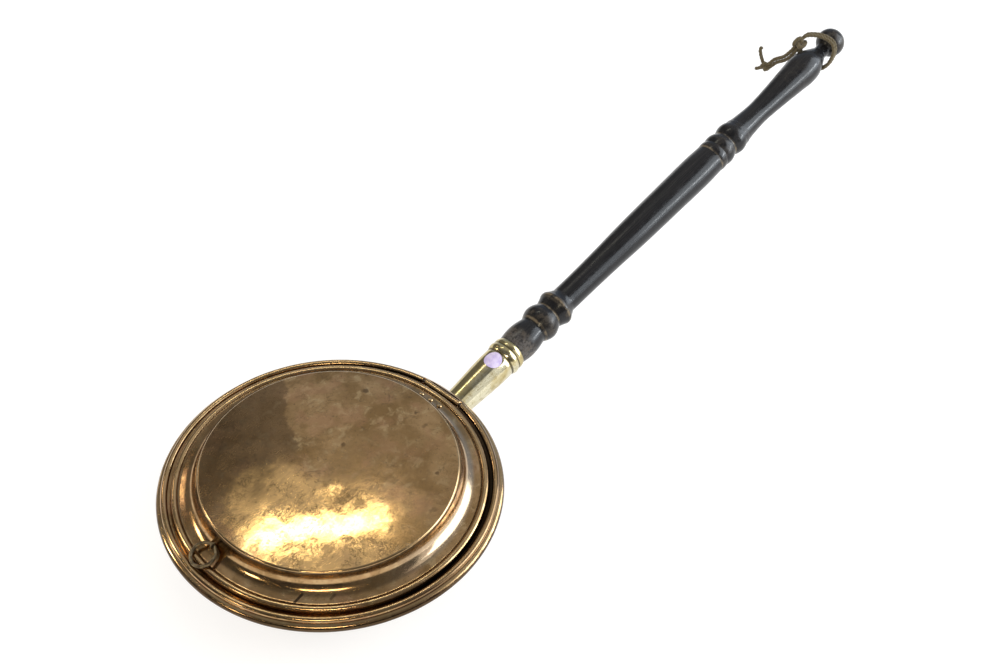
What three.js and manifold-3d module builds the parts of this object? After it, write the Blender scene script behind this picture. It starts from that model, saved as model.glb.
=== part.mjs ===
// A bed warming pan: a copper pan with a hinged domed lid, a brass socket and a long turned handle.
// Millimetres. Origin at the centre of the pan's underside, +X along the handle, +Z up.
import * as THREE from "three";
import { mergeVertices } from "three/addons/utils/BufferGeometryUtils.js";
import Module from "manifold-3d";

const wasm = await Module();
wasm.setup();

// ---- Driving dimensions -------------------------------------------------------------------------

const clearance = 0.3; // between pieces that touch
const sheet = 1.0; // copper sheet of pan and lid
const ringFacets = 40; // facets round the pan axis

// Pan
const rimHeight = 60; // plane of the wire in the pan's rim, above the underside
const rimWireRing = 143.6; // radius of the circle that the rim wire follows
const rimWireRadius = 1.8;
const baseInset = 39.6; // of the base's flat, inside the wire's circle
const baseFlatRadius = rimWireRing - baseInset;
const baseCornerRadius = 16;
const wallFlare = THREE.MathUtils.degToRad(12);
const ledgeFillet = 4;
const curlReach = 3.4; // the turned-down edge of the rim curls round a circle this far outside the wire
const curlDrop = 5.5; // centre of that curl below the rim plane
const curlRadius = 4; // outside radius of its section

// Lid
const lidPlay = 2.9; // between the bead of the lid's edge and the bead of the pan's rim
const lidWireRadius = 2;
const lidWireRise = 1.6; // wire of the lid's edge above the rim plane
const coveWidth = 12.5; // from the edge of the plateau to the flange
const plateauEdgeRise = 22.2; // above the rim plane
const crownRise = 29.5;
const stepDrop = 1.4; // fine step round the plateau
const stepWidth = 1.3;
const stepLip = 0.3;
const coveHollow = 1.4; // foot of the cove's curve outside the step
const coveFootRise = 7.5;
const flangeWidth = 5.4;
const flangeFall = 1.6;
const flangeEdgeRise = 1.0; // of the flange's outer edge, above the wire of the lid's edge

// Hinge
const hingeHalfAngle = (2 * Math.PI) / ringFacets; // the rim's notch spans one facet each side of the handle
const strapThickness = 1.0;
const leafWidth = 34;
const leafReach = 20.3; // the leaf's places are measured inwards from the hinge's axis
const leafRise = 14;
const leafBend = 11.2;
const leafGap = 0.6; // leaf below the lid's flange at its middle, less at its corners
const slotReach = 6; // of the ledge's slot, inwards from where the leaf rises
const hingeRivetPitch = 11;
const hingeRivetReach = 16.2;
const hingeShankRadius = 1.3;
const hingeHeadRadius = 2.6;
const hingeHeadHeight = 1.2;

// Lift ring and the staple that holds it
const ringAzimuth = THREE.MathUtils.degToRad(172);
const ringMeanRadius = 11.1;
const ringWireRadius = 1.4;
const staplePlace = 0.5; // place of the staple along the lid's cove, from 0 at the plateau to 1 at the flange
const stapleWireRadius = 0.9;
const stapleEyeRise = 2.0; // centre of the eye above the lid's skin
const stapleTail = 3.5; // legs below the lid's skin
const eyePlay = 0.5; // between the ring's wire and the eye

// Handle and socket: places along their axis are measured from the pan's wall
const socketHeight = 25.3; // where the axis meets the wall
const handleTilt = THREE.MathUtils.degToRad(8.9);
const handleFacets = 16; // facets round the handle, its tenon and the socket
const socketSheet = 1.2;
const socketRadius = 16.1; // of the cone at its wide end
const coneLength = 98;
const collarLength = 17.5;
const socketMouth = coneLength + collarLength;
const flangeHalfWidth = 30;
const flangeHalfHeight = 19;
const flangeSheet = 1.4;
const tenonStart = 42.5;
const handleRadius = 17;
const beadsLength = 76.3;
const shaftLength = 229.4;
const middleBeadsLength = 49;
const gripLength = 143;
const neckLength = 4;
const knobRadius = 15;
const pinPlace = 74.5;
const pinRadius = 1.7;
const pinHeadRadius = 3.4;
const pinHeadHeight = 1.6;
const pinDepth = 11; // of the pin's shank inside the tenon

// Rivets that hold the socket's flange on the wall
const rivetSpreadY = 21.5;
const rivetSpreadZ = 8.5;
const rivetShankRadius = 1.9;
const rivetHeadRadius = 4;
const rivetHeadHeight = 1.8;

// Hanging twine
const twineRadius = 1.4;

// ---- Small helpers --------------------------------------------------------------------------------

const half = sheet / 2;
const point = (x, y) => new THREE.Vector2(x, y);

function arc(cx, cy, radius, fromDegrees, toDegrees, steps) {
  return Array.from({ length: steps + 1 }, (_, i) => {
    const angle = THREE.MathUtils.degToRad(
      fromDegrees + ((toDegrees - fromDegrees) * i) / steps,
    );
    return point(cx + radius * Math.cos(angle), cy + radius * Math.sin(angle));
  });
}

// The two faces of a bent sheet, from its middle line.
function sheetFaces(line, thickness) {
  const normals = line.map((p, i) => {
    const before = i ? p.clone().sub(line[i - 1]).normalize() : null;
    const after =
      i < line.length - 1 ? line[i + 1].clone().sub(p).normalize() : null;
    const along = before && after ? before.clone().add(after) : before || after;
    along.normalize();
    const reach = before && after ? along.dot(after) : 1;
    return point(-along.y, along.x).divideScalar(reach);
  });
  const face = (side) =>
    line.map((p, i) =>
      p.clone().addScaledVector(normals[i], (side * thickness) / 2),
    );
  return { left: face(1), right: face(-1) };
}

function sheetOutline(line, thickness) {
  const { left, right } = sheetFaces(line, thickness);
  for (const face of [left, right])
    for (const p of face) if (Math.abs(p.x) < thickness) p.x = Math.max(0, p.x);
  return [...right, ...left.reverse()];
}

// A profile of radius and height turned about +Z. An outline that leaves the axis closes on itself.
function turned(outline, facets) {
  const onAxis = outline[0].x === 0 && outline[outline.length - 1].x === 0;
  const profile = onAxis ? outline : [...outline, outline[0].clone()];
  return new THREE.LatheGeometry(profile, facets).rotateX(Math.PI / 2);
}

// Pieces turned about the pan axis share their facets, so they nest with even gaps.
const turnedOnPan = (outline) => turned(outline, ringFacets);

function solid(geometry) {
  const bare = new THREE.BufferGeometry()
    .setAttribute("position", geometry.getAttribute("position"))
    .setIndex(geometry.index);
  const merged = mergeVertices(bare, 1e-4);
  return new wasm.Manifold(
    new wasm.Mesh({
      numProp: 3,
      vertProperties: merged.attributes.position.array,
      triVerts: new Uint32Array(merged.index.array),
    }),
  );
}

function geometryOf(manifold) {
  const mesh = manifold.getMesh();
  const geometry = new THREE.BufferGeometry()
    .setAttribute(
      "position",
      new THREE.BufferAttribute(new Float32Array(mesh.vertProperties), 3),
    )
    .setIndex(new THREE.BufferAttribute(new Uint32Array(mesh.triVerts), 1));
  geometry.computeVertexNormals();
  return geometry;
}

const cut = (body, ...tools) =>
  geometryOf(tools.reduce((rest, tool) => rest.subtract(solid(tool)), body));

function extruded(outline, length) {
  return new THREE.ExtrudeGeometry(new THREE.Shape(outline), {
    depth: length,
    bevelEnabled: false,
  }).translate(0, 0, -length / 2);
}

// An outline of x and z, extruded along y with its middle at y = 0.
const acrossPan = (outline, width) =>
  extruded(outline, width).rotateX(Math.PI / 2);

function box(x0, x1, halfWidth, z0, z1) {
  return new THREE.BoxGeometry(x1 - x0, 2 * halfWidth, z1 - z0).translate(
    (x0 + x1) / 2,
    0,
    (z0 + z1) / 2,
  );
}

function tube(curve, radius, steps, sides) {
  const section = new THREE.Shape(
    arc(0, 0, radius, 0, 360 - 360 / sides, sides - 1),
  );
  return new THREE.ExtrudeGeometry(section, { steps, extrudePath: curve });
}

// Turns a geometry's +Z to a direction and moves it to a place.
function aimed(geometry, place, direction) {
  const turn = new THREE.Quaternion().setFromUnitVectors(
    new THREE.Vector3(0, 0, 1),
    direction.clone().normalize(),
  );
  return geometry.applyQuaternion(turn).translate(place.x, place.y, place.z);
}

const drill = (radius, length) =>
  new THREE.CylinderGeometry(radius, radius, length, 10).rotateX(Math.PI / 2);

// A rivet along +Z with a domed head at each end, its grip centred on the origin.
function rivetGeometry(shankRadius, headRadius, headHeight, grip) {
  const dome = (side) => [
    point(headRadius, (side * grip) / 2),
    point(headRadius * 0.86, side * (grip / 2 + headHeight * 0.5)),
    point(headRadius * 0.5, side * (grip / 2 + headHeight * 0.87)),
    point(0, side * (grip / 2 + headHeight)),
  ];
  return turned(
    [
      ...dome(-1).reverse(),
      point(shankRadius, -grip / 2),
      point(shankRadius, grip / 2),
      ...dome(1),
    ],
    8,
  );
}

// ---- Materials ------------------------------------------------------------------------------------

const metal = (color, roughness) =>
  new THREE.MeshStandardMaterial({ color, roughness, metalness: 1 });
const copper = metal(0x8a5f3a, 0.38);
const brass = metal(0xa89452, 0.35);
const iron = metal(0x4a4038, 0.6);
const ebonisedWood = new THREE.MeshStandardMaterial({
  color: 0x1d1a19,
  roughness: 0.35,
});
const hemp = new THREE.MeshStandardMaterial({
  color: 0x6b5c3a,
  roughness: 0.95,
});

const pan = new THREE.Group();
pan.name = "warming_pan";

function piece(name, geometry, material, parent = pan) {
  const mesh = new THREE.Mesh(geometry, material);
  mesh.name = name;
  parent.add(mesh);
  return mesh;
}

// ---- Pan: one raised sheet, from the flat base to the edge curled under outside the rim -------------

const wallDirection = point(Math.sin(wallFlare), Math.cos(wallFlare));
const wallFoot = point(
  baseFlatRadius + (baseCornerRadius - half) * Math.cos(wallFlare),
  baseCornerRadius - (baseCornerRadius - half) * Math.sin(wallFlare),
);
const beadRadius = rimWireRadius + clearance + half; // middle line of the bead over the rim wire
const lidBeadRadius = lidWireRadius + clearance + half;
const lidWireRing = rimWireRing - beadRadius - half - lidPlay - half - lidBeadRadius;
const curlRing = rimWireRing + curlReach;
const ledgeHeight =
  rimHeight + lidWireRise - lidBeadRadius - half - clearance - half;
const wallRadiusAt = (z) =>
  wallFoot.x + ((z - wallFoot.y) * wallDirection.x) / wallDirection.y;
const flareDegrees = THREE.MathUtils.radToDeg(wallFlare);
const filletHeight = ledgeHeight - ledgeFillet;
const filletRadius =
  wallRadiusAt(filletHeight + ledgeFillet * Math.sin(wallFlare)) +
  ledgeFillet * Math.cos(wallFlare);
const curlHeight = rimHeight - curlDrop;

const panLine = [
  point(0, half),
  ...arc(
    baseFlatRadius,
    baseCornerRadius,
    baseCornerRadius - half,
    -90,
    -flareDegrees,
    4,
  ),
  ...arc(filletRadius, filletHeight, ledgeFillet, 180 - flareDegrees, 90, 2),
  point(rimWireRing - beadRadius, ledgeHeight),
  ...arc(rimWireRing, rimHeight, beadRadius, 180, -30, 5),
  ...arc(curlRing, curlHeight, curlRadius - half, 75, -150, 5),
];

// The rim is cut away for the hinge: right through the bead for the knuckle, and through the ledge for the leaf.
const knuckleBore = rimWireRadius + clearance;
const knuckleRadius = knuckleBore + strapThickness;
const hingeX = rimWireRing * Math.cos(hingeHalfAngle);
const notchHalfWidth = rimWireRing * Math.sin(hingeHalfAngle);
const knuckleHalfLength = notchHalfWidth - clearance;
const notchFloor = rimHeight - knuckleRadius - 2 * clearance;
const notchTop = rimHeight + 2 * beadRadius;

// ---- Handle frame: local +Z is the handle's axis, local +X points below it ---------------------------

const handleFrame = new THREE.Group();
handleFrame.position.set(wallRadiusAt(socketHeight), 0, socketHeight);
handleFrame.rotation.y = Math.PI / 2 - handleTilt;
pan.add(handleFrame);
handleFrame.updateMatrix();
const inPan = (geometry) => geometry.applyMatrix4(handleFrame.matrix);

// Places along a stretch of a profile, as shares of its length.
const stretch = (start, length) => (share) => start + share * length;

// A bulge between two ends, each given as shares of the radius and of the length of a stretch.
function swell(radius, place, [r0, u0], [r1, u1], bulge, steps) {
  return Array.from({ length: steps + 1 }, (_, i) => {
    const u = i / steps;
    return point(
      radius * (r0 + (r1 - r0) * u + bulge * Math.sin(Math.PI * u)),
      place(u0 + (u1 - u0) * u),
    );
  });
}

// Points of share of the radius and share of the length, as a profile from the given start.
const profile = (points, radius, start, length) =>
  points.map(([r, share]) => point(r * radius, start + share * length));

// ---- Socket: a brass cone with a saddle flange on the wall and two beads at its mouth -----------------

const coneOutside = profile(
  [
    [0.69, -0.07],
    [0.76, 0.19],
    [0.857, 0.495],
    [0.938, 0.7],
    [1, 0.883],
    [0.994, 1],
  ],
  socketRadius,
  0,
  coneLength,
);
const coneEnd = coneOutside[coneOutside.length - 1];
const boreAtMouth = coneEnd.x - socketSheet;
const onCollar = stretch(coneLength, collarLength);
const collarBeads = [
  point(0.963 * socketRadius, onCollar(0.07)),
  ...swell(socketRadius, onCollar, [0.988, 0.11], [1.03, 0.58], 0.081, 5),
  ...swell(socketRadius, onCollar, [1.03, 0.595], [0.97, 1], 0.05, 4),
];
const cone = coneOutside.map((p) => point(p.x - socketSheet, p.y));
const bore = [...cone, point(boreAtMouth, socketMouth)];
const socketOutline = [...coneOutside, ...collarBeads, ...[...bore].reverse()];

// Radius of the cone's outside or bore at a place along the axis.
function radiusAt(line, s) {
  const next = line.findIndex((p) => p.y > s);
  const [a, b] = [line[next - 1], line[next]];
  return a.x + ((b.x - a.x) * (s - a.y)) / (b.y - a.y);
}

// The pan's wall with a skin of the given thickness outside its middle line, as a plug.
const wallPoints = 8; // of the pan's line, up to the ledge's fillet
const wallLine = panLine.slice(0, wallPoints);
const wallPlug = (skin) =>
  solid(
    turnedOnPan([
      point(0, -skin),
      point(baseFlatRadius, -skin),
      ...sheetFaces(wallLine, 2 * skin).right.slice(2),
      point(0, wallLine[wallPoints - 1].y),
    ]),
  );
const flangeInside = wallPlug(half + clearance);
const flangeOutside = wallPlug(half + clearance + flangeSheet);
const flangeOval = extruded(
  Array.from({ length: 24 }, (_, i) =>
    point(
      flangeHalfWidth * Math.cos((i * Math.PI) / 12),
      flangeHalfHeight * Math.sin((i * Math.PI) / 12),
    ),
  ),
  baseFlatRadius,
)
  .rotateZ(Math.PI / 2)
  .rotateY(Math.PI / 2)
  .translate(baseFlatRadius, 0, socketHeight);

// The four rivets of the flange stand square on the flared wall.
const flangeStack = sheet + clearance + flangeSheet;
const headBow = rivetHeadRadius * Math.sin(Math.PI / ringFacets); // of the wall under a flat rivet head
const flangeRivets = [
  [1, 1],
  [-1, 1],
  [1, -1],
  [-1, -1],
].map(([side, level]) => {
  const z = socketHeight + level * rivetSpreadZ;
  const azimuth = side * Math.asin(rivetSpreadY / wallRadiusAt(z));
  const direction = new THREE.Vector3(
    wallDirection.y * Math.cos(azimuth),
    wallDirection.y * Math.sin(azimuth),
    -wallDirection.x,
  );
  const place = new THREE.Vector3(
    wallRadiusAt(z) * Math.cos(azimuth),
    wallRadiusAt(z) * Math.sin(azimuth),
    z,
  ).addScaledVector(direction, (clearance + flangeSheet) / 2);
  return { place, direction };
});
const flangeDrills = () =>
  flangeRivets.map(({ place, direction }) =>
    aimed(drill(rivetShankRadius + clearance, 4 * flangeStack), place, direction),
  );

const pinSeat = radiusAt(coneOutside, pinPlace);
const pinDrill = () =>
  new THREE.CylinderGeometry(
    pinRadius + clearance,
    pinRadius + clearance,
    2 * pinSeat,
    10,
  )
    .rotateZ(Math.PI / 2)
    .translate(2 * pinSeat - pinDepth - clearance, 0, pinPlace);

const boreCore = [point(0, cone[0].y), ...cone, point(0, coneLength)];
const saddle = flangeOutside
  .subtract(flangeInside)
  .intersect(solid(flangeOval))
  .subtract(solid(inPan(turned(boreCore, handleFacets))));
const socketTube = solid(
  inPan(turned(socketOutline, handleFacets)),
).subtract(flangeInside);
piece(
  "handle_socket",
  cut(saddle.add(socketTube), inPan(pinDrill()), ...flangeDrills()),
  brass,
);
flangeRivets.forEach(({ place, direction }, i) =>
  piece(
    `flange_rivet_${i + 1}`,
    aimed(
      rivetGeometry(
        rivetShankRadius,
        rivetHeadRadius,
        rivetHeadHeight,
        flangeStack + 2 * (clearance + headBow),
      ),
      place,
      direction,
    ),
    copper,
  ),
);

// ---- Pan bowl and its rim wire ------------------------------------------------------------------------

piece(
  "pan_bowl",
  cut(
    solid(turnedOnPan(sheetOutline(panLine, sheet))),
    box(
      hingeX - knuckleRadius - clearance,
      hingeX + knuckleRadius + clearance,
      notchHalfWidth,
      notchFloor,
      notchTop,
    ),
    box(
      hingeX - leafRise - slotReach,
      hingeX,
      leafWidth / 2 + 2 * clearance,
      notchFloor,
      notchTop,
    ),
    ...flangeDrills(),
  ),
  copper,
);

const wireSection = (ring, height, radius) =>
  arc(ring, height, radius, 0, 300, 5);

// The rim wire follows the rim, and runs straight between the ends of the notch as the hinge's pin.
const rimWire = turnedOnPan(
  wireSection(rimWireRing, rimHeight, rimWireRadius),
);
const wirePoints = rimWire.getAttribute("position");
for (let i = 0; i < wirePoints.count; i++) {
  const x = wirePoints.getX(i);
  const y = wirePoints.getY(i);
  const azimuth = Math.atan2(y, x);
  if (Math.abs(azimuth) > hingeHalfAngle * 0.99) continue;
  wirePoints.setX(i, hingeX + Math.hypot(x, y) - rimWireRing);
  wirePoints.setY(i, rimWireRing * Math.sin(azimuth));
}
piece("rim_wire", rimWire, iron);

// ---- Handle: one turned length, from the tenon in the socket to the knob ------------------------------

const beadsStart = socketMouth + clearance;
const shaftStart = beadsStart + beadsLength;
const middleBeadsStart = shaftStart + shaftLength;
const gripStart = middleBeadsStart + middleBeadsLength;
const knobOpening = THREE.MathUtils.degToRad(58); // of the neck, below the knob's middle
const knobCentre = gripStart + gripLength + neckLength + knobRadius * Math.sin(knobOpening);
const tenon = [
  point(0, tenonStart),
  point(radiusAt(bore, tenonStart) - clearance, tenonStart),
  ...bore
    .filter((p) => p.y > tenonStart && p.y < socketMouth)
    .map((p) => point(p.x - clearance, p.y)),
  point(boreAtMouth - clearance, socketMouth + clearance),
];
const onBeads = stretch(beadsStart, beadsLength);
const lowerTurning = [
  ...swell(handleRadius, onBeads, [0.906, 0], [0.853, 0.402], 0.118, 6),
  ...swell(handleRadius, onBeads, [0.865, 0.408], [0.88, 0.688], 0.212, 6),
  ...profile(
    [
      [0.865, 0.695],
      [1.074, 0.817],
      [1.091, 0.841],
      [1.077, 0.866],
      [0.794, 0.982],
    ],
    handleRadius,
    beadsStart,
    beadsLength,
  ),
];
const smooth = (points, steps) => new THREE.SplineCurve(points).getPoints(steps);
const shaft = smooth(
  profile(
    [
      [0.788, 0],
      [0.8, 0.137],
      [0.841, 0.281],
      [0.924, 0.469],
      [0.976, 0.722],
      [1, 0.892],
      [0.953, 1],
    ],
    handleRadius,
    shaftStart,
    shaftLength,
  ),
  8,
);
const onMiddle = stretch(middleBeadsStart, middleBeadsLength);
const middleTurning = [
  ...swell(handleRadius, onMiddle, [0.956, 0.006], [0.941, 0.19], 0.035, 4),
  ...swell(handleRadius, onMiddle, [0.947, 0.196], [0.829, 0.51], 0.1, 5),
  ...swell(handleRadius, onMiddle, [0.829, 0.518], [0.882, 0.884], 0.135, 6),
  point(0.876 * handleRadius, onMiddle(0.957)),
  point(0.841 * handleRadius, onMiddle(0.978)),
];
const grip = smooth(
  profile(
    [
      [0.835, 0],
      [0.771, 0.061],
      [0.706, 0.175],
      [0.706, 0.266],
      [0.8, 0.448],
      [0.935, 0.65],
      [1, 0.748],
      [0.935, 0.836],
      [0.653, 0.922],
      [0.471, 0.969],
      [0.441, 1],
    ],
    handleRadius,
    gripStart,
    gripLength,
  ),
  13,
);
const knob = arc(0, knobCentre, knobRadius, -THREE.MathUtils.radToDeg(knobOpening), 90, 8);
knob[knob.length - 1].x = 0;
piece(
  "turned_handle",
  cut(
    solid(
      turned(
        [...tenon, ...lowerTurning, ...shaft, ...middleTurning, ...grip, ...knob],
        handleFacets,
      ),
    ),
    pinDrill(),
  ),
  ebonisedWood,
  handleFrame,
);

// The pin comes up from below, through the socket into the tenon.
const pinTop = pinSeat + clearance;
const pinOutline = [
  point(0, -pinDepth),
  point(pinRadius, -pinDepth),
  point(pinRadius, 0),
  point(pinHeadRadius, 0),
  point(pinHeadRadius * 0.75, pinHeadHeight * 0.7),
  point(0, pinHeadHeight),
];
piece(
  "handle_pin",
  turned(pinOutline, 10).rotateY(Math.PI / 2).translate(pinTop, 0, pinPlace),
  iron,
  handleFrame,
);

// ---- Lid: domed sheet with a stepped plateau, a hollow cove and a flange rolled over a wire ------------

const lidLevel = (radius, rise) => point(radius, rimHeight + rise);
const lidBeadStart = THREE.MathUtils.degToRad(150);
const flangeOuterRadius = lidWireRing + lidBeadRadius * Math.cos(lidBeadStart) - sheet * 1.5;
const flangeInnerRadius = flangeOuterRadius - flangeWidth;
const plateauRadius = flangeInnerRadius - coveWidth;
const crownFall = (crownRise - plateauEdgeRise) / plateauRadius ** 2;
const plateau = [0, 0.45, 0.75, 1].map((u) =>
  lidLevel(
    u * plateauRadius,
    crownRise - crownFall * (u * plateauRadius) ** 2,
  ),
);
const flangeOuterRise = lidWireRise + flangeEdgeRise;
const flangeInnerRise = flangeOuterRise + flangeFall;
const cove = new THREE.QuadraticBezierCurve(
  lidLevel(plateauRadius + stepWidth, plateauEdgeRise - stepDrop - stepLip),
  lidLevel(plateauRadius + stepWidth + coveHollow, coveFootRise),
  lidLevel(flangeInnerRadius, flangeInnerRise),
);
const lidWireHeight = rimHeight + lidWireRise;
const lidLine = [
  ...plateau,
  lidLevel(plateauRadius + stepLip, plateauEdgeRise - stepDrop),
  ...cove.getPoints(5),
  lidLevel(flangeOuterRadius, flangeOuterRise),
  ...arc(lidWireRing, lidWireHeight, lidBeadRadius, 150, -150, 7),
];

const flangeSlope = Math.atan2(flangeFall, flangeWidth);
const leafStack = sheet + leafGap + strapThickness;
const hingeRivets = [-1, 0, 1].map((i) => {
  const radial = point(hingeX - hingeRivetReach, i * hingeRivetPitch);
  const radius = radial.length();
  const direction = new THREE.Vector3(
    (Math.sin(flangeSlope) * radial.x) / radius,
    (Math.sin(flangeSlope) * radial.y) / radius,
    Math.cos(flangeSlope),
  );
  const rise =
    flangeInnerRise - (radius - flangeInnerRadius) * Math.tan(flangeSlope);
  const place = new THREE.Vector3(radial.x, radial.y, rimHeight + rise);
  place.addScaledVector(direction, -(leafGap + strapThickness) / 2);
  return { place, direction };
});
const hingeDrills = () =>
  hingeRivets.map(({ place, direction }) =>
    aimed(drill(hingeShankRadius + clearance, 3 * leafStack), place, direction),
  );

// The staple stands square on the cove, its two legs through the skin.
const stapleFoot = cove.getPoint(staplePlace);
const stapleAlong = cove.getTangent(staplePlace);
const stapleLean = Math.atan2(-stapleAlong.y, stapleAlong.x); // from +Z towards the outside
const eyeRadius = ringWireRadius + eyePlay + stapleWireRadius;
const ringPivot = new THREE.Vector3(
  stapleFoot.x + (half + stapleEyeRise) * Math.sin(stapleLean),
  0,
  stapleFoot.y + (half + stapleEyeRise) * Math.cos(stapleLean),
);
const onStaple = (geometry) =>
  geometry
    .rotateY(stapleLean)
    .translate(ringPivot.x, 0, ringPivot.z)
    .rotateZ(ringAzimuth);
const legReach = stapleEyeRise + sheet + stapleTail;
const stapleDrills = [-1, 1].map((side) =>
  onStaple(
    drill(stapleWireRadius + clearance, 6 * sheet).translate(
      side * eyeRadius,
      0,
      -stapleEyeRise - half,
    ),
  ),
);

piece(
  "lid",
  cut(
    solid(turnedOnPan(sheetOutline(lidLine, sheet))),
    ...hingeDrills(),
    ...stapleDrills,
  ),
  copper,
);
piece(
  "lid_wire",
  turnedOnPan(wireSection(lidWireRing, lidWireHeight, lidWireRadius)),
  iron,
);

// ---- Hinge strap: a knuckle round the straight wire, and a leaf under the lid's edge --------------------

const knuckle = turned(
  [
    point(knuckleBore, -knuckleHalfLength),
    point(knuckleRadius, -knuckleHalfLength),
    point(knuckleRadius, knuckleHalfLength),
    point(knuckleBore, knuckleHalfLength),
  ],
  16,
)
  .rotateX(Math.PI / 2)
  .translate(hingeX, 0, rimHeight);
const leafBelow =
  (half + leafGap + strapThickness / 2) / Math.cos(flangeSlope);
const leafRiseAt = (x) =>
  flangeInnerRise -
  (x - flangeInnerRadius) * Math.tan(flangeSlope) -
  leafBelow;
const leafFloor = rimHeight - knuckleBore - strapThickness / 2;
const leafLine = [
  ...[leafReach, leafRise].map((reach) =>
    point(hingeX - reach, rimHeight + leafRiseAt(hingeX - reach)),
  ),
  point(hingeX - leafBend, leafFloor),
  point(hingeX, leafFloor),
];
const leafFaces = sheetFaces(leafLine, strapThickness);
const leaf = acrossPan([...leafFaces.right, ...leafFaces.left.reverse()], leafWidth);
piece("hinge_strap", cut(solid(knuckle).add(solid(leaf)), ...hingeDrills()), copper);
hingeRivets.forEach(({ place, direction }, i) =>
  piece(
    `hinge_rivet_${i + 1}`,
    aimed(
      rivetGeometry(
        hingeShankRadius,
        hingeHeadRadius,
        hingeHeadHeight,
        leafStack + 2 * clearance,
      ),
      place,
      direction,
    ),
    copper,
  ),
);

// ---- Lift ring, lying over the lid's edge, and its staple -------------------------------------------------

const staplePath = new THREE.CatmullRomCurve3([
  new THREE.Vector3(-eyeRadius, 0, -legReach),
  new THREE.Vector3(-eyeRadius, 0, -legReach / 2),
  ...arc(0, 0, eyeRadius, 180, 0, 6).map((p) => new THREE.Vector3(p.x, 0, p.y)),
  new THREE.Vector3(eyeRadius, 0, -legReach / 2),
  new THREE.Vector3(eyeRadius, 0, -legReach),
]);
piece(
  "ring_staple",
  onStaple(tube(staplePath, stapleWireRadius, 12, 6)),
  brass,
);

// At rest the ring lies on the bead of the lid's edge.
const beadSide = point(
  lidWireRing - ringPivot.x,
  lidWireHeight - ringPivot.z,
);
const ringRest =
  -beadSide.angle() +
  2 * Math.PI -
  Math.asin(
    (lidBeadRadius + half + ringWireRadius + clearance) / beadSide.length(),
  );
piece(
  "lift_ring",
  new THREE.TorusGeometry(ringMeanRadius, ringWireRadius, 6, 24)
    .translate(ringMeanRadius, 0, 0)
    .rotateY(ringRest)
    .translate(ringPivot.x, 0, ringPivot.z)
    .rotateZ(ringAzimuth),
  brass,
);

// ---- Twine: a loop round the handle's neck, a knot, and a doubled tail tied at its end --------------------

const twinePoint = ([s, y, above]) => new THREE.Vector3(-above, y, s);
function strand(name, route, steps) {
  const curve = new THREE.CatmullRomCurve3(route.map(twinePoint));
  piece(name, tube(curve, twineRadius, steps, 8), hemp, handleFrame);
}
function knot(name, place, radius, stretch) {
  const geometry = new THREE.SphereGeometry(radius, 8, 6).scale(stretch, 1, 1);
  const at = twinePoint(place);
  piece(name, geometry.translate(at.x, at.y, at.z), hemp, handleFrame);
}
// Each point: along the handle's axis, to its left, above it.
const neckLoop = [
  [602.1, 5.6, -12.1],
  [601.9, -1, -13.4],
  [603.1, -8, -11.6],
  [607.5, -13.3, -6.8],
  [614, -14.8, 0],
  [619, -13.3, 6.7],
  [621.3, -8.8, 12],
  [620, -1, 15.6],
  [616, 8, 17.6],
  [610, 15.2, 18.2],
  [605.9, 18.0, 15.6],
];
const loopReturn = [
  [601.5, 18.5, 4.4],
  [600.5, 16.9, -1.5],
  [601.1, 12.8, -7.6],
  [601.9, 7.4, -11.4],
];
const tailRouteA = [
  [598, 21.8, 7.4],
  [593.3, 25.0, 1.6],
  [589.3, 30.3, -5.2],
  [585.6, 39.2, -11.2],
  [581.2, 44.8, -18.4],
];
const tailRouteB = [
  [598.3, 19.0, 5.9],
  [592.9, 22.2, -1.2],
  [588.9, 27.5, -8.0],
  [585.2, 36.4, -14.0],
  [580.8, 42.6, -20.7],
];
strand("twine_loop", neckLoop, 14);
strand("twine_return", loopReturn, 4);
knot("twine_knot", [601.5, 19, 10.6], 4.9, 1.15);
strand("twine_tail_a", tailRouteA, 7);
strand("twine_tail_b", tailRouteB, 7);
knot("twine_end_knot", [579.6, 46.8, -21.4], 3.6, 1);
strand(
  "twine_end_up",
  [
    [580.4, 49.6, -18.2],
    [581.8, 53.6, -13.3],
    [584.1, 56.9, -6.5],
    [586.5, 56.6, -3.6],
  ],
  5,
);
strand(
  "twine_end_down",
  [
    [577.9, 50.4, -23.2],
    [576.5, 53.2, -24.4],
    [575.1, 56.4, -26.2],
  ],
  3,
);

export default pan;
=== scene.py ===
"""A bed warming pan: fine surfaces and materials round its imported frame.

Lengths are written in millimetres and turned into metres where a mesh is made.
"""

import json
import math

import bmesh
import bpy
from mathutils import Matrix, Vector, noise


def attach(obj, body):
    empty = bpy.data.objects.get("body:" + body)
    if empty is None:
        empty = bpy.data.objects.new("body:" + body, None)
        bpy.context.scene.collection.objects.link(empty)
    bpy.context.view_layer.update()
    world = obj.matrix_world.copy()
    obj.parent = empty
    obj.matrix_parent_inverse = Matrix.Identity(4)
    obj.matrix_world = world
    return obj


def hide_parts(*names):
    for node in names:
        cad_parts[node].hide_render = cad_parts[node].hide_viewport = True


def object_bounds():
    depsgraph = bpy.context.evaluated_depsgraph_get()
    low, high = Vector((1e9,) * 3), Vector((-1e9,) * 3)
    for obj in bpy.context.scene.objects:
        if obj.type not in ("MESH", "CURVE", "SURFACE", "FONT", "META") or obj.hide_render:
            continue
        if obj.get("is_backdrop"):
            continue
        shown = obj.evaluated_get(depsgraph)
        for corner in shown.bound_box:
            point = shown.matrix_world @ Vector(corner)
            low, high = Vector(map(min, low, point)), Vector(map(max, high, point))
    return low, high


MM = 0.001
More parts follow.
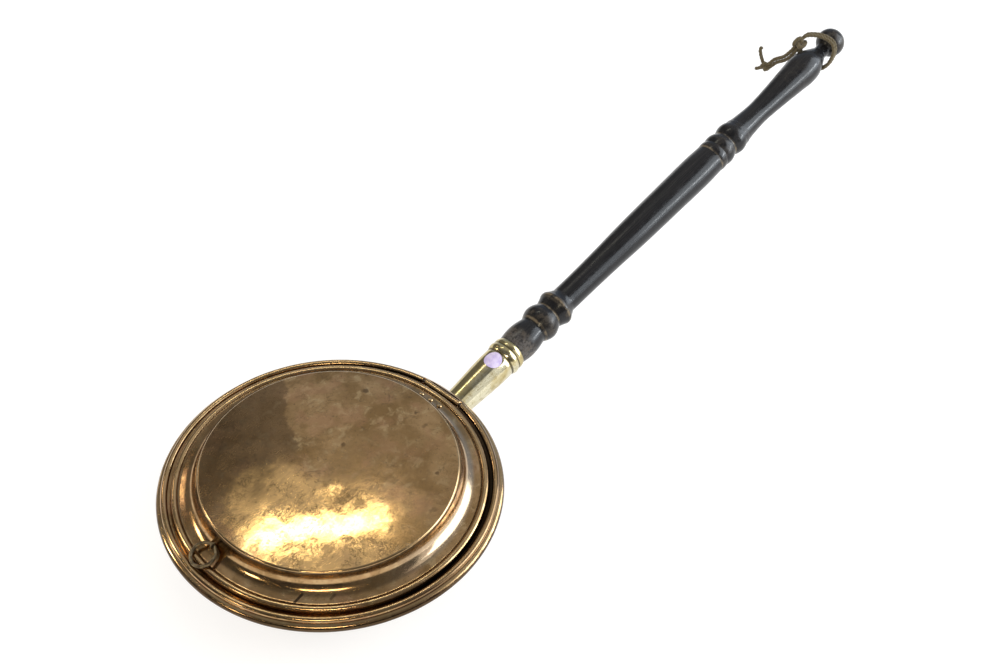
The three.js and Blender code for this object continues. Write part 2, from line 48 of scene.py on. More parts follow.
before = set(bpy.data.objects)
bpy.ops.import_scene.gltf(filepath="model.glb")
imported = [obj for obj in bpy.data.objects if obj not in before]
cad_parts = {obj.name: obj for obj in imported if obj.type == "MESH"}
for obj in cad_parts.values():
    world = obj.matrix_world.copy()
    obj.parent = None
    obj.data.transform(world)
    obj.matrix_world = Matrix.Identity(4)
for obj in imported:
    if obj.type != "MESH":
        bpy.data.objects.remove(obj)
cad_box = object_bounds()


def added(name, data):
    """A new object of the scene."""
    made = bpy.data.objects.new(name, data)
    bpy.context.scene.collection.objects.link(made)
    return made


# ---- Camera ----

CAMERA_PLACE = Vector((-623.9, -759.81, 1238.25)) * MM
CAMERA_AHEAD = Vector((0.52039, 0.46856, -0.71389))
CAMERA_LENS = 63.105
SENSOR_WIDTH = 36.0
CAMERA_RANGE = 50  # metres


def make_camera():
    camera = added("camera", bpy.data.cameras.new("camera"))
    camera.data.lens = CAMERA_LENS
    camera.data.sensor_width = SENSOR_WIDTH
    camera.data.clip_end = CAMERA_RANGE
    camera.location = CAMERA_PLACE
    camera.rotation_euler = CAMERA_AHEAD.to_track_quat("-Z", "Y").to_euler()
    bpy.context.scene.camera = camera


make_camera()


# ---- Driving dimensions ----

CLEARANCE = 0.3
SHEET = 1.0
HALF = SHEET / 2

RIM_HEIGHT = 60.0
RIM_RING = 143.6
RIM_WIRE = 1.8
BASE_FLAT = 104.0
BASE_CORNER = 16.0
WALL_FLARE = math.radians(12)
LEDGE_FILLET = 4.0
CURL_REACH = 3.4
CURL_DROP = 5.5
CURL_RADIUS = 4.0
NOTCH_WEAR = 1.2  # the ends of the hinge's notch are filed back and worn

LID_PLAY = 2.9
LID_WIRE = 2.0
LID_WIRE_RISE = 1.6
COVE_WIDTH = 12.5
PLATEAU_EDGE_RISE = 22.2
PLATEAU_EDGE_ROUND = 1.7
CROWN_RISE = 29.5
STEP_DROP = 1.4
STEP_WIDTH = 1.3
STEP_LIP = 0.3
COVE_HOLLOW = 1.4
COVE_FOOT_RISE = 7.5
FLANGE_WIDTH = 5.4
FLANGE_FALL = 1.6
FLANGE_EDGE_RISE = 1.0

HINGE_HALF_ANGLE = math.radians(9)
STRAP = 1.0
STRAP_EASE = 0.4
LEAF_WIDTH = 34.0
LEAF_REACH = 20.3
LEAF_RISE = 14.0
LEAF_BEND = 11.2
LEAF_GAP = 0.6
SLOT_REACH = 6.0
HINGE_RIVET_PITCH = 11.0
HINGE_RIVET_REACH = 16.2
HINGE_SHANK = 1.3
HINGE_HEAD = 2.6
HINGE_HEAD_HEIGHT = 1.2

RING_AZIMUTH = math.radians(172)
RING_MEAN = 11.1
RING_WIRE = 1.4
RING_CRUST = 0.22  # of tarnish and dirt on the ring's wire
STAPLE_WIRE = 0.9
STAPLE_EYE_RISE = 2.0
STAPLE_TAIL = 3.5
EYE_PLAY = 0.5

SOCKET_HEIGHT = 25.3
HANDLE_TILT = math.radians(8.9)
SOCKET_SHEET = 1.2
SOCKET_RADIUS = 16.1
SOCKET_FILLET = 5.0
SOCKET_BORE_DEPTH = 12.0
CONE_LENGTH = 98.0
CONE_FOOT = 14.0
COLLAR_LENGTH = 17.5
FLANGE_HALF_WIDTH = 30.0
FLANGE_HALF_HEIGHT = 19.0
FLANGE_SHEET = 1.4
HANDLE_RADIUS = 17.0
TENON_LENGTH = 11.0
BEADS_LENGTH = 76.3
SHAFT_LENGTH = 229.4
MIDDLE_LENGTH = 49.0
GRIP_LENGTH = 143.0
NECK_LENGTH = 4.0
KNOB_RADIUS = 15.0
KNOB_OPENING = 58
PIN_PLACE = 74.5
PIN_HEAD = 3.4
PIN_HEAD_HEIGHT = 1.6
PIN_SHANK = 1.7
PIN_DEPTH = 6.0
RIVET_SPREAD_Y = 21.5
RIVET_SPREAD_Z = 8.5
RIVET_SHANK = 1.9
RIVET_HEAD = 4.0
RIVET_HEAD_HEIGHT = 1.8

PAN_SEGMENTS = 240
HANDLE_SEGMENTS = 96
# Edges sharper than this many degrees stay crisp.
CREASE = 38
SOCKET_CREASE = 40
HANDLE_CREASE = 42
LID_CREASE = 50
RIVET_CREASE = 55
TWINE_CREASE = 70


# ---- Curves and surfaces ----


def turns(count):
    """Angles that share a whole turn evenly."""
    return [2 * math.pi * i / count for i in range(count)]


def arc(cx, cy, radius, start, end, steps):
    """Points on an arc between two angles in degrees, both ends included."""
    angles = [math.radians(start + (end - start) * i / steps) for i in range(steps + 1)]
    return [(cx + radius * math.cos(a), cy + radius * math.sin(a)) for a in angles]


def line(start, end, steps):
    """Points along a straight stretch, without its last one."""
    shares = [i / steps for i in range(steps)]
    return [tuple(a + (b - a) * u for a, b in zip(start, end)) for u in shares]


def bend(a, b, c, steps):
    """Points of a curve from a to c that is drawn towards b, both ends included."""
    shares = [i / steps for i in range(steps + 1)]
    return [(1 - u) ** 2 * a + 2 * u * (1 - u) * b + u * u * c for u in shares]


def spline(points, steps):
    """A Catmull-Rom curve through points, with that many steps between each two."""
    knots = [Vector(p) for p in points]
    ends = [2 * knots[0] - knots[1], *knots, 2 * knots[-1] - knots[-2]]
    curve = []
    for a, b, c, d in zip(ends, ends[1:], ends[2:], ends[3:]):
        for i in range(steps):
            t = i / steps
            curve.append(
                0.5 * ((2 * b) + (c - a) * t + (2 * a - 5 * b + 4 * c - d) * t * t)
                + 0.5 * (3 * b - a - 3 * c + d) * t**3
            )
    return [*curve, knots[-1]]


def sheet_outline(middle, thickness):
    """The closed outline of a bent sheet, from its middle line."""
    points = [Vector(p) for p in middle]
    faces = ([], [])
    for i, p in enumerate(points):
        before = (p - points[i - 1]).normalized() if i else None
        after = (points[i + 1] - p).normalized() if i < len(points) - 1 else None
        along = ((before or after) + (after or before)).normalized()
        reach = along.dot(before or after)
        normal = Vector((-along.y, along.x)) / reach
        for face, side in zip(faces, (1, -1)):
            q = p + normal * side * thickness / 2
            face.append((0.0 if p.x == 0 else q.x, q.y))
    return [*faces[1], *reversed(faces[0])]


def skinned(rings, looped=False, capped=False):
    """Vertices and faces of a skin over rings of points, where a lone point closes an end."""
    sides = max(len(ring) for ring in rings)
    vertices, places = [], []
    for ring in rings:
        first, step = len(vertices), int(len(ring) > 1)
        vertices += ring
        places.append([first + k * step for k in range(sides)])
    if looped:
        places.append(places[0])
    faces = []
    for lower, upper in zip(places, places[1:]):
        for k in range(sides):
            j = (k + 1) % sides
            faces.append(tuple(dict.fromkeys((lower[k], lower[j], upper[j], upper[k]))))
    if capped:
        faces += [tuple(places[0]), tuple(places[-1])]
    return vertices, faces


def turned(outline, segments):
    """The surface of a profile of radius and height turned about +Z."""
    rings = []
    for r, z in outline:
        ring = turns(segments) if r > 0 else [0.0]
        rings.append([(r * math.cos(a), r * math.sin(a), z) for a in ring])
    return skinned(rings, looped=outline[0][0] > 0)


def frames_along(points, closed=False):
    """Each point with two normals across the path, carried along it without a twist."""
    count = len(points)
    normal = None
    for i, p in enumerate(points):
        before = points[i - 1] if closed or i else p
        after = points[(i + 1) % count] if closed or i < count - 1 else p
        along = (after - before).normalized()
        normal = along.orthogonal() if normal is None else normal
        normal = (normal - along * normal.dot(along)).normalized()
        yield p, normal, along.cross(normal)


def swept(path, radius, sides, closed=False, flatten=lambda share, a: 1.0):
    """The surface of a tube along points, or of a closed ring of them."""
    points = [Vector(p) for p in path]
    rings = []
    for i, (p, normal, side) in enumerate(frames_along(points, closed)):
        ring = []
        for a in turns(sides):
            r = radius * flatten(i / len(points), a)
            ring.append(p + (normal * math.cos(a) + side * math.sin(a)) * r)
        rings.append(ring)
    return skinned(rings, looped=closed, capped=not closed)


def joined(surfaces):
    """One surface of several."""
    vertices, faces = [], []
    for more, sides in surfaces:
        base = len(vertices)
        vertices += more
        faces += [tuple(base + i for i in f) for f in sides]
    return vertices, faces


# ---- Meshes and pieces ----


def tidy(mesh, crease=CREASE):
    """Merges points, turns faces out and smooths all edges but those sharper than the crease."""
    work = bmesh.new()
    work.from_mesh(mesh)
    bmesh.ops.remove_doubles(work, verts=work.verts, dist=1e-7)
    bmesh.ops.recalc_face_normals(work, faces=work.faces)
    work.to_mesh(mesh)
    work.free()
    mesh.shade_smooth()
    mesh.set_sharp_from_angle(angle=math.radians(crease))


def new_mesh(name, surface, place=Matrix(), crease=CREASE):
    """A closed mesh in metres of a surface that is moved to its place."""
    vertices, faces = surface
    mesh = bpy.data.meshes.new(name)
    mesh.from_pydata([(place @ Vector(v)) * MM for v in vertices], [], faces)
    tidy(mesh, crease)
    return mesh


def piece(name, mesh, material, slot, body, *nodes):
    """A finished piece that rides on a body and stands for CAD nodes."""
    made = added(name, mesh)
    mesh.materials.clear()
    mesh.materials.append(material)
    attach(made, body)
    if nodes:
        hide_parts(*nodes)
    return made


def formed(name, surface, material, slot, body, *nodes, place=Matrix(), crease=CREASE):
    """A finished piece of a surface that is moved to its place."""
    return piece(name, new_mesh(name, surface, place, crease), material, slot, body, *nodes)


def cut_or_join(mesh, tool, operation):
    """The mesh after a boolean with another mesh."""
    name = mesh.name
    body, other = added("boolean_body", mesh), added("boolean_tool", tool)
    modifier = body.modifiers.new("boolean", "BOOLEAN")
    modifier.operation = operation
    modifier.solver = "EXACT"
    modifier.object = other
    bpy.context.view_layer.update()
    graph = bpy.context.evaluated_depsgraph_get()
    result = bpy.data.meshes.new_from_object(body.evaluated_get(graph))
    for o in (body, other):
        bpy.data.objects.remove(o)
    bpy.data.meshes.remove(mesh)
    bpy.data.meshes.remove(tool)
    result.name = name
    tidy(result)
    return result


def box_mesh(low, high):
    work = bmesh.new()
    bmesh.ops.create_cube(work, size=1)
    for v in work.verts:
        v.co = [MM * (a + (b - a) * (c + 0.5)) for a, b, c in zip(low, high, v.co)]
    mesh = bpy.data.meshes.new("box")
    work.to_mesh(mesh)
    work.free()
    return mesh


def aimed(place, direction):
    """The matrix that turns +Z to a direction and moves the origin to a place."""
    turn = Vector((0, 0, 1)).rotation_difference(Vector(direction))
    return Matrix.Translation(Vector(place)) @ turn.to_matrix().to_4x4()


def uneven(p, size, seed):
    """A smooth irregular number from about -1 to 1 that changes over that size."""
    return noise.noise(Vector(p) / size + Vector((seed, 3.1 * seed, 7.7)))


# ---- Sizes shared by several pieces ----

bead = RIM_WIRE + CLEARANCE + HALF
lid_bead = LID_WIRE + CLEARANCE + HALF
ledge_height = RIM_HEIGHT + LID_WIRE_RISE - lid_bead - HALF - CLEARANCE - HALF
wall_foot = (
    BASE_FLAT + (BASE_CORNER - HALF) * math.cos(WALL_FLARE),
    BASE_CORNER - (BASE_CORNER - HALF) * math.sin(WALL_FLARE),
)
lid_ring = RIM_RING - bead - HALF - LID_PLAY - HALF - lid_bead
lid_wire_height = RIM_HEIGHT + LID_WIRE_RISE
flange_outer = lid_ring + lid_bead * math.cos(math.radians(150)) - 1.5 * SHEET
flange_inner = flange_outer - FLANGE_WIDTH
flange_outer_rise = LID_WIRE_RISE + FLANGE_EDGE_RISE
flange_inner_rise = flange_outer_rise + FLANGE_FALL
flange_slope = math.atan2(FLANGE_FALL, FLANGE_WIDTH)
plateau_radius = flange_inner - COVE_WIDTH
hinge_x = RIM_RING * math.cos(HINGE_HALF_ANGLE)
notch_half_width = RIM_RING * math.sin(HINGE_HALF_ANGLE)
knuckle_bore = RIM_WIRE + CLEARANCE
knuckle_radius = knuckle_bore + STRAP


def wall_radius(z):
    return wall_foot[0] + (z - wall_foot[1]) * math.tan(WALL_FLARE)


def level(radius, rise):
    """A point of a profile, its height given above the rim's wire."""
    return Vector((radius, RIM_HEIGHT + rise))


def flange_level(radius):
    """The height of the lid's flange above the rim's wire."""
    return flange_inner_rise - (radius - flange_inner) * math.tan(flange_slope)


step_foot = PLATEAU_EDGE_RISE - STEP_DROP
cove = (
    level(plateau_radius + STEP_WIDTH, step_foot - STEP_LIP),
    level(plateau_radius + STEP_WIDTH + COVE_HOLLOW, COVE_FOOT_RISE),
    level(flange_inner, flange_inner_rise),
)

HANDLE_FRAME = (
    Matrix.Translation((wall_radius(SOCKET_HEIGHT), 0, SOCKET_HEIGHT))
    @ Matrix.Rotation(math.pi / 2 - HANDLE_TILT, 4, "Y")
)
AXIS = Vector((math.cos(HANDLE_TILT), 0.0, math.sin(HANDLE_TILT)))


def on_handle(along, left, above):
    """A point given along the handle's axis, to its left and above it."""
    return HANDLE_FRAME @ Vector((-above, left, along))


def beside_axis(along, radius, angle):
    """A point beside the handle's axis, at an angle from straight above it."""
    return on_handle(along, radius * math.sin(angle), radius * math.cos(angle))


# ---- Pan ----

WALL_DENTS = 0.22
RIM_WAVER = 0.07
DENT_SIZE = 17


def pan_line():
    flare = math.degrees(WALL_FLARE)
    fillet_height = ledge_height - LEDGE_FILLET
    fillet_foot = fillet_height + LEDGE_FILLET * math.sin(WALL_FLARE)
    fillet_ring = wall_radius(fillet_foot) + LEDGE_FILLET * math.cos(WALL_FLARE)
    corner = arc(BASE_FLAT, BASE_CORNER, BASE_CORNER - HALF, -90, -flare, 14)
    fillet = arc(fillet_ring, fillet_height, LEDGE_FILLET, 180 - flare, 90, 8)
    return [
        *line((0.0, HALF), corner[0], 26),
        *corner[:-1],
        *line(corner[-1], fillet[0], 10),
        *fillet,
        *arc(RIM_RING, RIM_HEIGHT, bead, 180, -30, 22),
        *arc(RIM_RING + CURL_REACH, RIM_HEIGHT - CURL_DROP, CURL_RADIUS - HALF, 75, -150, 24),
    ]


def hand_raised(surface):
    """Dents of the hammer in the wall, and a slight waver of the rim; the base stays flat."""
    dented = []
    for x, y, z in surface[0]:
        r = math.hypot(x, y)
        push = 0
        if r >= BASE_FLAT or z >= BASE_CORNER:
            on_wall = z < ledge_height - 2 and r < wall_radius(z) + 2
            depth = WALL_DENTS if on_wall else RIM_WAVER
            push = depth * uneven((x, y, 2 * z), DENT_SIZE, 2.0) / r
        dented.append((x * (1 + push), y * (1 + push), z))
    return dented, surface[1]


def make_pan(copper):
    surface = hand_raised(turned(sheet_outline(pan_line(), SHEET), PAN_SEGMENTS))
    mesh = new_mesh("pan_bowl_raised", surface)
    floor = RIM_HEIGHT - knuckle_radius - 2 * CLEARANCE
    top = RIM_HEIGHT + 2 * bead
    reach = knuckle_radius + CLEARANCE
    end = notch_half_width + NOTCH_WEAR
    slot_half = LEAF_WIDTH / 2 + 2 * CLEARANCE
    slot_start = hinge_x - LEAF_RISE - SLOT_REACH
    notch = box_mesh((hinge_x - reach, -end, floor), (hinge_x + reach, end, top))
    slot = box_mesh((slot_start, -slot_half, floor), (hinge_x, slot_half, top))
    mesh = cut_or_join(mesh, notch, "DIFFERENCE")
    mesh = cut_or_join(mesh, slot, "DIFFERENCE")
    return piece("pan_bowl_raised", mesh, copper, "copper", "pan", "pan_bowl")


# ---- Lid ----

PLATEAU_RINGS = 60
# Hammer marks: height, size and seed of each noise.
CROWN_WAVES = ((0.14, 34, 5.0), (0.055, 12, 9.0))
RIM_WAVES = (0.05, 15, 1.0)
WAVES_END = 6  # beyond the plateau's edge
WAVES_FADE = 14
# Soft swellings of the crown: place, reach and height.
CROWN_BUMPS = (((-13, -16.5), 8, 0.5), ((-44, 22), 13, 0.35), ((-66, 8), 9, 0.25))


def lid_line():
    fall = (CROWN_RISE - PLATEAU_EDGE_RISE) / plateau_radius**2
    turn_in = plateau_radius - PLATEAU_EDGE_ROUND
    radii = [turn_in * i / PLATEAU_RINGS for i in range(PLATEAU_RINGS + 1)]
    plateau = [level(r, CROWN_RISE - fall * r * r) for r in radii]
    return [
        *plateau,
        *arc(turn_in, plateau[-1].y - PLATEAU_EDGE_ROUND, PLATEAU_EDGE_ROUND, 78, 8, 6),
        level(plateau_radius + STEP_LIP, step_foot),
        *bend(*cove, 22)[:-1],
        *line(cove[-1], level(flange_outer, flange_outer_rise), 4),
        level(flange_outer, flange_outer_rise),
        *arc(lid_ring, lid_wire_height, lid_bead, 150, -150, 32),
    ]


def planished(surface):
    """The plateau's hammer marks, slow waves and swellings, which fade towards its edge."""
    marked = []

    def wave(x, y, height, size, seed):
        return height * uneven((x, y, 0), size, seed)

    for x, y, z in surface[0]:
        near = (plateau_radius + WAVES_END - math.hypot(x, y)) / WAVES_FADE
        near = min(1.0, max(0.0, near))
        waves = sum(wave(x, y, *w) for w in CROWN_WAVES)
        for (px, py), reach, height in CROWN_BUMPS:
            away = math.hypot(x - px, y - py) / reach
            waves += height * math.exp(-0.5 * away * away)
        marked.append((x, y, z + near * waves + (1 - near) * wave(x, y, *RIM_WAVES)))
    return marked, surface[1]


def make_lid(copper):
    surface = planished(turned(sheet_outline(lid_line(), SHEET), PAN_SEGMENTS))
    return formed("lid_raised", surface, copper, "copper", "lid", "lid", crease=LID_CREASE)


# ---- Hinge ----

# A domed rivet head: shares of its radius and of its height.
DOME = (
    (1, 0), (0.985, 0.18), (0.93, 0.38), (0.82, 0.6),
    (0.64, 0.8), (0.42, 0.93), (0.2, 0.985), (0, 1),
)


def make_rivet(node, body, material, place, direction, sizes):
    """A rivet with a domed head at each end, its grip centred on its place."""
    shank, head, height, grip = sizes
    dome = [(head * r, grip / 2 + height * z) for r, z in DOME]
    foot = [(r, -z) for r, z in reversed(dome)]
    surface = turned([*foot, (shank, -grip / 2), (shank, grip / 2), *dome], 28)
    at = aimed(place, direction)
    formed(node + "_domed", surface, material, "copper", body, node, place=at, crease=RIVET_CREASE)


def make_hinge_strap(copper):
    """A knuckle round the rim's wire with a bent leaf."""
    end = notch_half_width - CLEARANCE - NOTCH_WEAR
    outline = [
        (knuckle_bore, -end),
        (knuckle_radius - STRAP_EASE, -end),
        (knuckle_radius, -end + STRAP_EASE),
        (knuckle_radius, end - STRAP_EASE),
        (knuckle_radius - STRAP_EASE, end),
        (knuckle_bore, end),
    ]
    place = Matrix.Translation((hinge_x, 0, RIM_HEIGHT)) @ Matrix.Rotation(math.pi / 2, 4, "X")
    knuckle = new_mesh("hinge_strap_rolled", turned(outline, 40), place)
    below = (HALF + LEAF_GAP + STRAP / 2) / math.cos(flange_slope)
    floor = RIM_HEIGHT - knuckle_bore - STRAP / 2
    flat = [hinge_x - reach for reach in (LEAF_REACH, LEAF_RISE)]
    middle = [
        *[level(x, flange_level(x) - below) for x in flat],
        (hinge_x - LEAF_BEND, floor),
        (hinge_x, floor),
    ]
    outline = sheet_outline(middle, STRAP)
    sides = [[(x, y, z) for x, z in outline] for y in (-LEAF_WIDTH / 2, LEAF_WIDTH / 2)]
    leaf = new_mesh("leaf", skinned(sides, capped=True))
    mesh = cut_or_join(knuckle, leaf, "UNION")
    return piece("hinge_strap_rolled", mesh, copper, "copper", "lid", "hinge_strap")


def make_hinge_rivets(material):
    grip = SHEET + LEAF_GAP + STRAP + 2 * CLEARANCE
    for i in (-1, 0, 1):
        x, y = hinge_x - HINGE_RIVET_REACH, i * HINGE_RIVET_PITCH
        radius = math.hypot(x, y)
        lean = math.sin(flange_slope) / radius
        direction = Vector((lean * x, lean * y, math.cos(flange_slope)))
        place = Vector((x, y, RIM_HEIGHT + flange_level(radius)))
        place -= direction * (LEAF_GAP + STRAP) / 2
        sizes = (HINGE_SHANK, HINGE_HEAD, HINGE_HEAD_HEIGHT, grip)
        make_rivet(f"hinge_rivet_{i + 2}", "lid", material, place, direction, sizes)


# ---- Lift ring and staple ----

cove_middle = bend(*cove, 2)[1]
staple_lean = math.atan2(cove[0].y - cove[2].y, cove[2].x - cove[0].x)
eye_rise = HALF + STAPLE_EYE_RISE
eye_radius = RING_WIRE + EYE_PLAY + STAPLE_WIRE
ring_pivot = Vector((
    cove_middle.x + eye_rise * math.sin(staple_lean),
    0,
    cove_middle.y + eye_rise * math.cos(staple_lean),
))
AT_PIVOT = Matrix.Rotation(RING_AZIMUTH, 4, "Z") @ Matrix.Translation(ring_pivot)


def make_staple(material):
    depth = STAPLE_EYE_RISE + SHEET + STAPLE_TAIL
    legs = [line((x, 0, -depth), (x, 0, 0), 5) for x in (-eye_radius, eye_radius)]
    eye = [(x, 0, z) for x, z in arc(0, 0, eye_radius, 180, 0, 20)]
    surface = swept([*legs[0], *eye, *reversed(legs[1])], STAPLE_WIRE, 16)
    at = AT_PIVOT @ Matrix.Rotation(staple_lean, 4, "Y")
    return formed("ring_staple_bent", surface, material, "brass", "lid", "ring_staple", place=at)


def ring_matrix():
    """The lift ring lies on the bead of the lid's edge."""
    side = Vector((lid_ring - ring_pivot.x, lid_wire_height - ring_pivot.z))
    seat = (lid_bead + HALF + RING_WIRE + CLEARANCE) / side.length
    rest = -math.atan2(side.y, side.x) - math.asin(seat)
    return AT_PIVOT @ Matrix.Rotation(rest, 4, "Y") @ Matrix.Translation((RING_MEAN, 0, 0))


def make_ring(material):
    """A hand-bent ring, its wire worn flat where it swings."""
    path = []
    for a in turns(72):
        r = RING_MEAN * (1 + 0.016 * math.cos(8 * a + 0.4) + 0.01 * math.cos(2 * a))
        path.append((r * math.cos(a), r * math.sin(a), 0))

    def worn(share, a):
        return 1 - 0.05 * (0.5 + 0.5 * math.cos(2 * a + 9 * share))

    surface = swept(path, RING_WIRE + RING_CRUST, 20, closed=True, flatten=worn)
    at = ring_matrix()
    return formed("lift_ring_bent", surface, material, "brass", "lift_ring", "lift_ring", place=at)


# ---- Socket ----

CONE_RINGS = 24
# Rings of the saddle: shares of the way out on its face, through its edge and back inside.
SADDLE_FACE = [0.985 * i / 7 for i in range(1, 8)]
SADDLE_EDGE = (0.75, 0.0)
SADDLE_INSIDE = (0.7, 0.4, 0.15)


def swell(radius, start, length, first, last, bulge, steps):
    """A bulge between two ends, each given as shares of the radius and of a stretch's length."""
    points = []
    for i in range(steps + 1):
        u = i / steps
        r = first[0] + (last[0] - first[0]) * u + bulge * math.sin(math.pi * u)
        points.append((radius * r, start + length * (first[1] + (last[1] - first[1]) * u)))
    return points


def shares(radius, start, length, points):
    return [(r * radius, start + u * length) for r, u in points]


CONE = ((0.69, -0.07), (0.76, 0.19), (0.857, 0.495), (0.938, 0.7), (1, 0.883), (0.994, 1))
cone_points = shares(SOCKET_RADIUS, 0, CONE_LENGTH, CONE)
socket_mouth = CONE_LENGTH + COLLAR_LENGTH
socket_bore = cone_points[-1][0] - SOCKET_SHEET


def cone_radius(s):
    for (r0, s0), (r1, s1) in zip(cone_points, cone_points[1:]):
        if s <= s1:
            return r0 + (r1 - r0) * (s - s0) / (s1 - s0)
    return cone_points[-1][0]


def on_wall(y, z, skin):
    """A point outside the wall, that far from its middle line."""
    radius = wall_radius(z) + skin / math.cos(WALL_FLARE)
    return Vector((math.sqrt(max(radius * radius - y * y, 0)), y, z))


def to_wall(angle, radius, skin):
    """Where a line beside the handle's axis meets the wall's outside."""
    low, high = -20.0, 20.0
    for _ in range(40):
        s = (low + high) / 2
        p = beside_axis(s, radius, angle)
        if p.x > on_wall(p.y, p.z, skin).x:
            high = s
        else:
            low = s
    return high


def socket_fillet(skin):
    """Rings from the cone's root out over a fillet to the saddle on the wall."""
    root = cone_radius(0)
    bends = []
    for a in turns(HANDLE_SEGMENTS):
        s = to_wall(a, root, skin)
        corner = beside_axis(s, root, a)
        y, z = corner.y + SOCKET_FILLET * math.sin(a), corner.z + SOCKET_FILLET * math.cos(a)
        up = beside_axis(s + SOCKET_FILLET, root, a)
        bends.append(bend(up, corner, on_wall(y, z, skin), 8))
    return [list(ring) for ring in zip(*bends)]


def make_socket(brass):
    """A cone that spreads over a fillet into a saddle on the wall, with two beads at its mouth."""
    collar = (SOCKET_RADIUS, CONE_LENGTH, COLLAR_LENGTH)
    beads = [
        *swell(*collar, (0.988, 0.11), (1.03, 0.58), 0.081, 12),
        *swell(*collar, (1.03, 0.595), (0.97, 1), 0.05, 10),
    ]
    cone_step = (CONE_LENGTH - CONE_FOOT) / (CONE_RINGS - 1)
    cone = [CONE_LENGTH - cone_step * i for i in range(CONE_RINGS)]
    profile = [
        (socket_bore, socket_mouth - SOCKET_BORE_DEPTH),
        (socket_bore, socket_mouth),
        *reversed(beads),
        *shares(*collar, [(0.963, 0.07)]),
        *[(cone_radius(s), s) for s in cone],
    ]
    around = turns(HANDLE_SEGMENTS)
    rings = [[beside_axis(s, r, a) for a in around] for r, s in profile]
    skin_in = HALF + CLEARANCE
    skin_out = skin_in + FLANGE_SHEET
    rings += socket_fillet(skin_out)
    centre = Vector((0, 0, SOCKET_HEIGHT))
    edge = [
        centre + Vector((0, FLANGE_HALF_WIDTH * math.sin(a), FLANGE_HALF_HEIGHT * math.cos(a)))
        for a in around
    ]

    def saddle_ring(inner, share, skin):
        """A ring on the wall, that share of the way from inner points to the saddle's edge."""
        ring = [a.lerp(b, share) for a, b in zip(inner, edge)]
        return [on_wall(p.y, p.z, skin) for p in ring]

    foot = rings[-1]
    rings += [saddle_ring(foot, share, skin_out) for share in SADDLE_FACE]
    rings += [saddle_ring(edge, 1.0, skin_in + FLANGE_SHEET * share) for share in SADDLE_EDGE]
    rings += [saddle_ring([centre] * len(edge), share, skin_in) for share in SADDLE_INSIDE]
    surface, node = skinned(rings, capped=True), "handle_socket"
    return formed("handle_socket_formed", surface, brass, "brass", "pan", node, crease=SOCKET_CREASE)


def make_flange_rivets(material):
    bow = RIVET_HEAD * math.sin(math.pi / 40)
    grip = SHEET + CLEARANCE + FLANGE_SHEET + 2 * (CLEARANCE + bow)
    sizes = (RIVET_SHANK, RIVET_HEAD, RIVET_HEAD_HEIGHT, grip)
    for i, (side, row) in enumerate(((1, 1), (-1, 1), (1, -1), (-1, -1))):
        z = SOCKET_HEIGHT + row * RIVET_SPREAD_Z
        radius = wall_radius(z)
        azimuth = side * math.asin(RIVET_SPREAD_Y / radius)
        out = Vector((math.cos(azimuth), math.sin(azimuth), 0))
        direction = out * math.cos(WALL_FLARE) - Vector((0, 0, math.sin(WALL_FLARE)))
        place = out * radius + Vector((0, 0, z)) + direction * (CLEARANCE + FLANGE_SHEET) / 2
        make_rivet(f"flange_rivet_{i + 1}", "pan", material, place, direction, sizes)


# ---- Handle ----

beads_start = socket_mouth + CLEARANCE
shaft_start = beads_start + BEADS_LENGTH
middle_start = shaft_start + SHAFT_LENGTH
grip_start = middle_start + MIDDLE_LENGTH
neck_start = grip_start + GRIP_LENGTH
knob_centre = neck_start + NECK_LENGTH + KNOB_RADIUS * math.sin(math.radians(KNOB_OPENING))

# Turned profiles: shares of the handle's radius and of the stretch's length.
RIDGE = (
    (0.865, 0.695), (1.05, 0.81), (1.074, 0.817), (1.088, 0.828), (1.092, 0.841),
    (1.088, 0.854), (1.077, 0.866), (1.05, 0.873), (0.794, 0.982),
)
SHAFT = (
    (0.788, 0), (0.8, 0.137), (0.841, 0.281), (0.924, 0.469), (0.976, 0.722),
    (1, 0.892), (0.953, 1),
)
GRIP = (
    (0.835, 0), (0.771, 0.061), (0.706, 0.175), (0.706, 0.266), (0.8, 0.448),
    (0.935, 0.65), (1, 0.748), (0.935, 0.836), (0.653, 0.922), (0.471, 0.969), (0.441, 1),
)


WOOD_WEAR = 0.12
WOOD_WEAR_SIZE = 13
WORN_BEYOND = 5  # the middle of both ends stays as turned


def handle_outline():
    r = HANDLE_RADIUS
    beads = (r, beads_start, BEADS_LENGTH)
    middle = (r, middle_start, MIDDLE_LENGTH)
    tenon = socket_bore - CLEARANCE
    tenon_end = socket_mouth - TENON_LENGTH
    return [
        (0.0, tenon_end),
        (tenon, tenon_end),
        (tenon, beads_start),
        *swell(*beads, (0.906, 0), (0.853, 0.402), 0.118, 18),
        *swell(*beads, (0.865, 0.408), (0.88, 0.688), 0.212, 18),
        *shares(*beads, RIDGE),
        *spline(shares(r, shaft_start, SHAFT_LENGTH, SHAFT), 7),
        *swell(*middle, (0.956, 0.006), (0.941, 0.19), 0.035, 8),
        *swell(*middle, (0.947, 0.196), (0.829, 0.51), 0.1, 12),
        *swell(*middle, (0.829, 0.518), (0.882, 0.884), 0.135, 14),
        *shares(*middle, [(0.876, 0.957), (0.841, 0.978)]),
        *spline(shares(r, grip_start, GRIP_LENGTH, GRIP), 6),
        *arc(0, knob_centre, KNOB_RADIUS, -KNOB_OPENING, 90, 26)[:-1],
        (0.0, knob_centre + KNOB_RADIUS),
    ]


